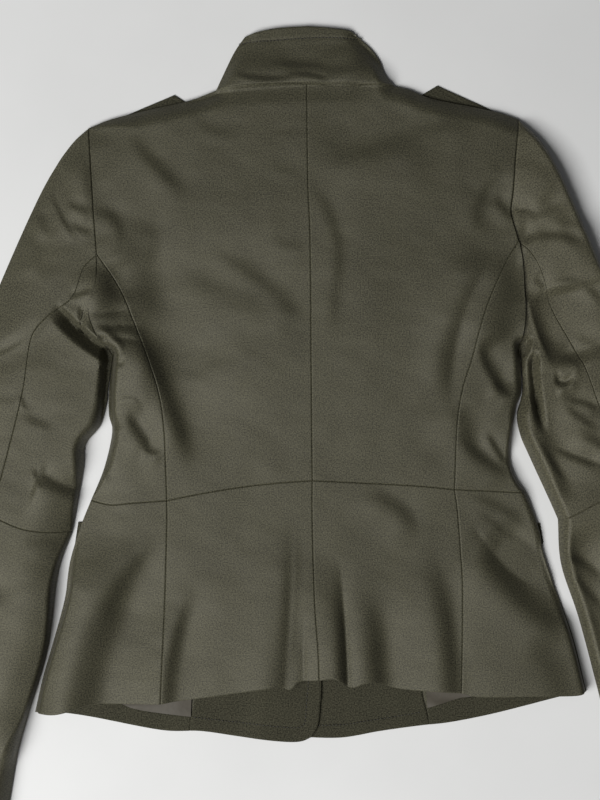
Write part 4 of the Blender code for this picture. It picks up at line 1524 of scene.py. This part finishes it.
@dataclass
class Sleeve(SidePart):
    """A two-piece sleeve, with each piece cut again by the elbow seam.

    The widths space the grid lines outside and inside the hind seam, on the upper side and
    on the hidden one.
    """

    pitch: float = 1.75
    lower_pitch: float = 2.3
    under_pitch: float = 9.0
    upper_widths: tuple[float, float] = (90.0, 75.0)
    hidden_widths: tuple[float, float] = (100.0, 40.0)
    hidden_seam: float = 0.72

    def columns(self) -> list[Points]:
        """Space the grid lines of the upper side's two parts and the hidden side's two."""
        upper = [spaced(width, self.pitch) for width in self.upper_widths]
        return upper + [spaced(width, self.under_pitch) for width in self.hidden_widths]

    def across(self, table: Line, hind_at: float) -> list[Points]:
        """Cut a line across the sleeve at its lengthwise seams.

        Args:
            table: The line across the sleeve.
            hind_at: Where the hind seam crosses it, as a share.

        Returns:
            The upper side's two parts and the hidden side's two parts.
        """
        outside, inside, hidden_out, hidden_in = self.columns()
        seam = self.hidden_seam
        shares = (
            outside * hind_at, hind_at + inside * (1 - hind_at),
            hidden_out * seam, seam + hidden_in * (1 - seam),
        )
        return [sample(table, part) for part in shares]

    def armhole(self) -> list[Points]:
        """Cut the armhole in the same four parts.

        Returns:
            The upper side's two parts and the hidden side's two parts.
        """
        outside, inside, hidden_out, hidden_in = self.columns()
        upper = sample(self.half["armhole_upper"], outside)
        lower = sample(self.half["armhole_lower"], inside)
        whole = joined(upper, lower)
        shares = along(whole)
        split = shares[len(upper) - 1 + len(lower) // 2]
        hidden = [
            np.column_stack([np.interp(part, shares, whole[:, k]) for k in (0, 1)])
            for part in (hidden_out * split, split + hidden_in * (1 - split))
        ]
        return [upper, lower, *hidden]

    def build(self) -> None:
        """Make and sew in the four pieces of the sleeve."""
        half = self.half
        elbow_at = share_at(half["elbow"], 0, half["hind_seam"][-1][0])
        cuff_at = share_at(half["cuff"], 0, half["hind_seam_lower"][-1][0])
        elbow = self.across(half["elbow"], elbow_at)
        self.build_part("upper", self.armhole(), elbow)
        self.build_part("lower", elbow, self.across(half["cuff"], cuff_at))

    def build_part(self, part: str, first: list[Points], last: list[Points]) -> None:
        """Make the top sleeve and the under sleeve of one part.

        Args:
            part: Whether it is the upper or the lower part.
            first: The four pieces of its first row.
            last: The four pieces of its last row.
        """
        suffix = "" if part == "upper" else "_lower"
        pitch = self.pitch if part == "upper" else self.lower_pitch
        outer = lined(self.half[f"sleeve_outer{suffix}"], pitch)
        inner, hind = (
            sample(self.half[f"{name}{suffix}"], along(outer))
            for name in ("sleeve_inner", "hind_seam")
        )
        hidden = straight(first[2][-1], last[2][-1], along(outer))
        raised_out = self.raised(patch(first[0], last[0], outer, hind))
        raised_in = self.raised(patch(first[1], last[1], hind, inner))
        laid_out = self.laid(patch(first[2], last[2], outer, hidden))
        laid_in = self.laid(patch(first[3], last[3], hidden, inner))
        way = last[0][0] - first[0][0]
        turn = math.atan2(way[0], way[1])
        self.sew_pair(f"sleeve_top_{part}_{self.tag}", raised_out[:, ::-1], laid_out[:, 1:], turn)
        self.sew_pair(f"sleeve_under_{part}_{self.tag}", raised_in, laid_in[:, -2::-1], turn)

    def raised(self, plane: Points) -> Points:
        """Give a grid on the upper side its heights."""
        return with_heights(plane, self.lay.sleeve(plane))

    def laid(self, plane: Points) -> Points:
        """Give a grid on the hidden side its heights."""
        return with_heights(plane, self.lay.laid(plane, self.lay.under_sleeve(plane)))

    def sew_pair(self, node: str, up: Points, down: Points, turn: float) -> None:
        """Roll the upper side's seams, add the hidden side and sew the piece in.

        Args:
            node: The solid that it replaces.
            up: The grid of the upper side.
            down: The grid of the hidden side.
            turn: The turn of the cloth's grain.
        """
        first, last = (DEEP_SEAM, SEAM) if "upper" in node else (SEAM, HEM)
        upper = Cloth(node, up, self.cloth).roll(first, last, SEAM, FLAT)
        grid = np.concatenate((upper.grid, down), axis=1)
        sew_in(Cloth(node, grid, self.cloth, turn=turn))


@dataclass
class Collar:
    """A stand collar: one band from the left front round the back to the right."""

    lay: Lay
    cloth: bpy.types.Material
    pitch: float = 1.5
    front_pitch: float = 4.0
    height: float = 52.0
    half_width: float = 84.0
    front_width: float = 96.0

    def half_grids(self, side: Side, rows: Points) -> tuple[Points, Points]:
        """Lay out the collar's back and front on one side.

        Args:
            side: Which side.
            rows: Shares of the grid lines down the collar.

        Returns:
            The grid of the back and the grid of the front, with their heights.
        """
        half = HALVES[side]
        fold_line = sample(half["collar_side"][::-1], rows)
        across = spaced(self.half_width, self.pitch, last=False)
        top, neck = sample(half["collar_top"], across), sample(half["neck"], across)
        back = patch(top, neck, fold_line, straight(top[-1], neck[-1], rows))
        across = spaced(self.front_width, self.front_pitch)
        edge, seam = (
            sample(half[name], across) for name in ("front_collar_top", "front_collar_neck")
        )
        front = patch(edge, seam, fold_line, straight(edge[-1], seam[-1], rows))
        return (
            with_heights(back, self.lay.collar(back)),
            with_heights(front, self.lay.laid(front, self.lay.front(front, side))),
        )

    def build(self) -> None:
        """Make and sew in the collar."""
        rows = spaced(self.height, self.pitch)
        left_back, left_front = self.half_grids(Side.LEFT, rows)
        right_back, right_front = self.half_grids(Side.RIGHT, rows)
        back = np.concatenate((left_back, right_back[:, -2::-1]), axis=1)
        back[..., 2] -= stitched_groove(back[..., :2], smooth(COLLAR_ROW))
        upper = Cloth("collar", back, self.cloth).roll(HEM, SEAM, FLAT, FLAT)
        grid = np.concatenate((left_front[:, :0:-1], upper.grid, right_front[:, 1:]), axis=1)
        sew_in(Cloth("collar", grid, self.cloth))


# The upper edge of each shoulder strap, from the armhole to the neck.
STRAPS: dict[str, Line] = {
    "epaulette_L": ((-194.5, 92.5), (-121, 61.5)),
    "epaulette_R": ((187, 84.5), (117, 53)),
}
FLAPS: dict[str, Line] = {
    "pocket_flap_L": ((-208, 448), (-98, 446), (-98, 488), (-205, 490), (-211, 468)),
    "pocket_flap_R": ((210, 449), (98, 446), (98, 488), (206, 490), (213, 466)),
}
# A flat piece's section, from its edge inwards over the groove of its stitching: how far
# in, and how far below the top.
FLAT_SECTION: Line = (
    (0.0, 0.45), (0.35, 0.12), (1.0, 0.0), (3.6, 0.05), (4.4, 0.28), (5.2, 0.05), (7.0, 0.0),
    (12.0, 0.0),
)


@dataclass
class FlatPieces:
    """Shoulder straps and pocket flaps: two layers of cloth, sewn at the edge."""

    cloth: bpy.types.Material
    thick: float = 1.5
    under_round: float = 0.35
    edge_steps: int = 16
    strap_width: float = 36.0
    strap_point: float = 12.7
    strap_cut: tuple[float, float] = (0.038, 0.093)
    sharp: float = 60.0

    def strap_outline(self, outer: tuple[float, float], corner: tuple[float, float]) -> Line:
        """Draw a pointed strap from its upper edge.

        Args:
            outer: The end of its upper edge at the armhole.
            corner: The end of its upper edge towards the neck.

        Returns:
            The strap's corners.
        """
        a, b = np.array(outer), np.array(corner)
        way = (b - a) / np.linalg.norm(b - a)
        across = np.array((abs(way[1]) * (1 if way[0] > 0 else -1), abs(way[0])))
        down = across * self.strap_width
        tip = b + down / 2 + way * self.strap_point
        return tuple(tuple(float(v) for v in p) for p in (a, b, tip, b + down, a + down))

    def build(self) -> None:
        """Make and sew in the straps and flaps."""
        for name, edge in STRAPS.items():
            self.build_one(name, self.strap_outline(*edge))
        for name, corners in FLAPS.items():
            self.build_one(name, corners)

    def build_one(
        self, name: str, corners: Line
    ) -> None:
        """Make one flat piece with rounded edges and sew it in.

        Args:
            name: The solid that it replaces.
            corners: The corners of its outline.
        """
        ring = np.array(corners, float)
        middle = ring.mean(axis=0)
        ring = np.vstack([
            np.linspace(a, b, self.edge_steps, endpoint=False)
            for a, b in zip(ring, np.roll(ring, -1, axis=0))
        ])
        ways = middle - ring
        ways /= np.linalg.norm(ways, axis=1)[:, None]
        insets = (self.under_round, 0.0, *(inset for inset, _ in FLAT_SECTION))
        planes = [ring + ways * inset for inset in insets]
        heights = [0.0, self.under_round, *(self.thick - drop for _, drop in FLAT_SECTION)]
        mesh = loft(f"sewn_{name}", planes, heights)
        add_grain(mesh, np.vstack(planes))
        made = put_in_scene(mesh, self.cloth, self.sharp)
        finish_piece(made, (name,))


@dataclass
class Buttons:
    """A row of plain round buttons under the closed fronts."""

    horn: bpy.types.Material
    radius: float = 9.0
    thick: float = 2.6
    count: int = 5
    first_y: float = 128.0
    pitch: float = 68.0
    x: float = -1.5
    segments: int = 40
    sharp: float = 40.0

    def section(self) -> Line:
        """Draw a button's section.

        Returns:
            Radius and height, from the middle of its back round to the middle of its face.
        """
        r, t = self.radius, self.thick
        return (
            (0.02, t), (0.72 * r, t), (0.93 * r, t - 0.3), (r, t - 0.9), (r, 0.7), (0.96 * r, 0.15),
            (0.86 * r, 0.0), (0.74 * r, 0.12), (0.64 * r, 0.7), (0.30 * r, 0.8), (0.02, 0.8),
        )

    def build(self) -> None:
        """Make each button as a turned disc with a rim, facing down."""
        angles = np.linspace(0, 2 * math.pi, self.segments, endpoint=False)
        circle = np.column_stack((np.cos(angles), np.sin(angles)))
        for number in range(self.count):
            middle = np.array((self.x, self.first_y + number * self.pitch))
            planes = [middle + radius * circle for radius, _ in self.section()]
            heights = [height for _, height in self.section()]
            mesh = loft(f"turned_button_{number + 1}", planes, heights)
            made = put_in_scene(mesh, self.horn, self.sharp)
            finish_piece(made, (f"button_{number + 1}",))
            LOG.info("%s made", made.name)


@dataclass
class Stitching:
    """Rows of topstitching, one small stitch after another along a path."""

    thread: bpy.types.Material
    pitch: float = 3.1
    length: float = 2.5
    radius: float = 0.44
    sunk: float = 0.08
    bead_segments: int = 6
    bead_rings: int = 5

    def tree(self) -> bpy.types.NodeTree:
        """Build the node tree that sets stitches along a path.

        Returns:
            The tree, with named inputs for its sizes.
        """
        tree = bpy.data.node_groups.new("stitch_row", "GeometryNodeTree")
        for name, way, kind in (
            ("Path", "INPUT", "Geometry"), ("Stitch pitch", "INPUT", "Float"),
            ("Stitch length", "INPUT", "Float"), ("Thread radius", "INPUT", "Float"),
            ("Thread", "INPUT", "Material"), ("Stitches", "OUTPUT", "Geometry"),
        ):
            tree.interface.new_socket(name, in_out=way, socket_type=f"NodeSocket{kind}")
        given = add_node(tree, "NodeGroupInput").outputs
        curve = add_node(tree, "GeometryNodeMeshToCurve", feeds={"Mesh": given["Path"]})
        points = add_node(
            tree, "GeometryNodeCurveToPoints",
            feeds={"Curve": curve.outputs["Curve"], "Length": given["Stitch pitch"]}, mode="LENGTH",
        )
        bead = add_node(
            tree, "GeometryNodeMeshUVSphere",
            {"Segments": self.bead_segments, "Rings": self.bead_rings, "Radius": 1.0},
        )
        half = add_node(
            tree, "ShaderNodeMath", {1: 0.5}, {0: given["Stitch length"]}, operation="MULTIPLY"
        )
        radius = given["Thread radius"]
        size = add_node(
            tree, "ShaderNodeCombineXYZ", feeds={"X": radius, "Y": radius, "Z": half.outputs[0]}
        )
        place = add_node(tree, "GeometryNodeInstanceOnPoints", feeds={
            "Points": points.outputs["Points"], "Rotation": points.outputs["Rotation"],
            "Instance": bead.outputs["Mesh"], "Scale": size.outputs["Vector"],
        })
        real = add_node(
            tree, "GeometryNodeRealizeInstances", feeds={"Geometry": place.outputs["Instances"]}
        )
        dress = add_node(
            tree, "GeometryNodeSetMaterial",
            feeds={"Geometry": real.outputs["Geometry"], "Material": given["Thread"]},
        )
        add_node(tree, "NodeGroupOutput", feeds={"Stitches": dress.outputs["Geometry"]})
        return tree

    def sew(self, name: str, rows: list[Points], tree: bpy.types.NodeTree) -> None:
        """Sew rows of stitches along paths, as one plain mesh with every stitch.

        Args:
            name: The name of the new piece.
            rows: Each row's points, in the tables' millimetres.
            tree: The tree that tree() gave.
        """
        verts, edges = [], []
        for row in rows:
            base = len(verts)
            verts += to_world(row).tolist()
            edges += [(base + k, base + k + 1) for k in range(len(row) - 1)]
        path = bpy.data.meshes.new(f"{name}_path")
        path.from_pydata(verts, edges, [])
        guide = bpy.data.objects.new(f"{name}_path", path)
        bpy.context.scene.collection.objects.link(guide)
        sewing = guide.modifiers.new("stitches", "NODES")
        sewing.node_group = tree
        sizes = {
            "Stitch pitch": self.pitch * MM, "Stitch length": self.length * MM,
            "Thread radius": self.radius * MM, "Thread": self.thread,
        }
        for item in tree.interface.items_tree:
            if item.in_out == "INPUT" and item.name in sizes:
                sewing[item.identifier] = sizes[item.name]
        bpy.context.view_layer.update()
        shown = guide.evaluated_get(bpy.context.evaluated_depsgraph_get())
        mesh = bpy.data.meshes.new_from_object(shown)
        mesh.name = name
        bpy.data.objects.remove(guide)
        finish_piece(put_in_scene(mesh, self.thread))
        LOG.info("%s: %d faces", name, len(mesh.polygons))

    def build(self, lay: Lay) -> None:
        """Sew the rows that show: on the collar and inside the fronts.

        Args:
            lay: How the jacket lies.
        """
        tree = self.tree()
        collar = smooth(COLLAR_ROW)
        rise = lay.collar(collar) - GROOVE.depth + self.radius - self.sunk
        self.sew("stitches_collar", [with_heights(collar, rise)], tree)
        on_front = WALL + LAYER_GAP + THIN_WALL - GROOVE.depth + self.radius - self.sunk
        lines = {side: smooth(row) for side, row in FRONT_ROWS.items()}
        rows = [
            with_heights(line, lay.front(line, side) + on_front) for side, line in lines.items()
        ]
        self.sew("stitches_fronts", rows, tree)


# --------------------------------------------------------------------------- studio
@dataclass
class Studio:
    """A pale floor, soft light and a camera that looks straight down, in metres."""

    picture: tuple[int, int] = (600, 800)
    millimetres_per_pixel: float = 0.9
    table_origin: tuple[float, float] = (308.0, 25.0)
    sensor_height: float = 36.0
    eye_height: float = 1.5
    focus_height: float = 0.010
    floor_size: float = 8.0
    floor_height: float = -0.0002
    window_place: tuple[float, float, float] = (-1.6, -1.15, 2.4)
    window_size: float = 1.9
    window_watts: float = 148.0
    sky_colour: Colour = (0.96, 0.98, 1.0)
    sky_strength: float = 0.10

    def camera(self) -> None:
        """Place the camera over the middle of the photographed part."""
        shift = (np.array(self.picture) / 2 - self.table_origin) * self.millimetres_per_pixel
        x, y, _ = to_world(np.array((*shift, 0.0)))
        lens = bpy.data.cameras.new("camera")
        lens.sensor_fit = "VERTICAL"
        lens.sensor_height = self.sensor_height
        tall = self.picture[1] * self.millimetres_per_pixel * MM
        lens.lens = self.sensor_height * self.eye_height / tall
        eye = bpy.data.objects.new("camera", lens)
        eye.location = (x, y, self.eye_height + self.focus_height)
        bpy.context.scene.collection.objects.link(eye)
        bpy.context.scene.camera = eye

    def floor(self) -> None:
        """Lay a plain pale floor."""
        bpy.ops.mesh.primitive_plane_add(size=self.floor_size, location=(0, 0, self.floor_height))
        floor = bpy.context.object
        floor.name = "floor"
        floor.data.materials.append(PALE_FLOOR.material())

    def window(self) -> None:
        """Hang a soft square light that faces the jacket."""
        light = bpy.data.lights.new("window", "AREA")
        light.shape = "SQUARE"
        light.size = self.window_size
        light.energy = self.window_watts
        made = bpy.data.objects.new("window", light)
        made.location = self.window_place
        x, y, z = self.window_place
        made.rotation_euler = (math.atan2(math.hypot(x, y), z), 0, math.atan2(x, -y))
        bpy.context.scene.collection.objects.link(made)

    def build(self) -> None:
        """Set up the floor, the light and the camera."""
        self.camera()
        self.floor()
        self.window()
        world = bpy.data.worlds.new("room")
        world.use_nodes = True
        sky = world.node_tree.nodes["Background"].inputs
        sky["Color"].default_value = (*self.sky_colour, 1)
        sky["Strength"].default_value = self.sky_strength
        bpy.context.scene.world = world
        view = bpy.context.scene.view_settings
        view.view_transform = "Standard"
        view.look = "None"


def main() -> None:
    """Build the whole dressed jacket."""
    logging.basicConfig(level=logging.INFO, format="%(name)s: %(message)s")
    lay = Lay()
    # inside is the duller twill whose darker colour is painted shade.
    twill, inside, satin, thread, horn = (
        finish.material() for finish in (TWILL, SHADED_INSIDE_TWILL, Satin(), THREAD, HORN)
    )
    Studio().build()
    for side in Side:
        Front(side, lay, twill, inside, satin).build()
        LOG.info("front %s made", side.value)
        Back(side, lay, twill).build()
        LOG.info("back %s made", side.value)
        # Each sleeve takes a lighter copy of the twill, which is painted light.
        Sleeve(side, lay, LIT_SLEEVE_TWILLS[side].material()).build()
        LOG.info("sleeve %s made", side.value)
    Collar(lay, twill).build()
    # The straps and flaps take the inside twill, darkened as painted shade under the jacket's
    # edges.
    FlatPieces(inside).build()
    Buttons(horn).build()
    Stitching(thread).build(lay)


if __name__ == "__main__":
    main()
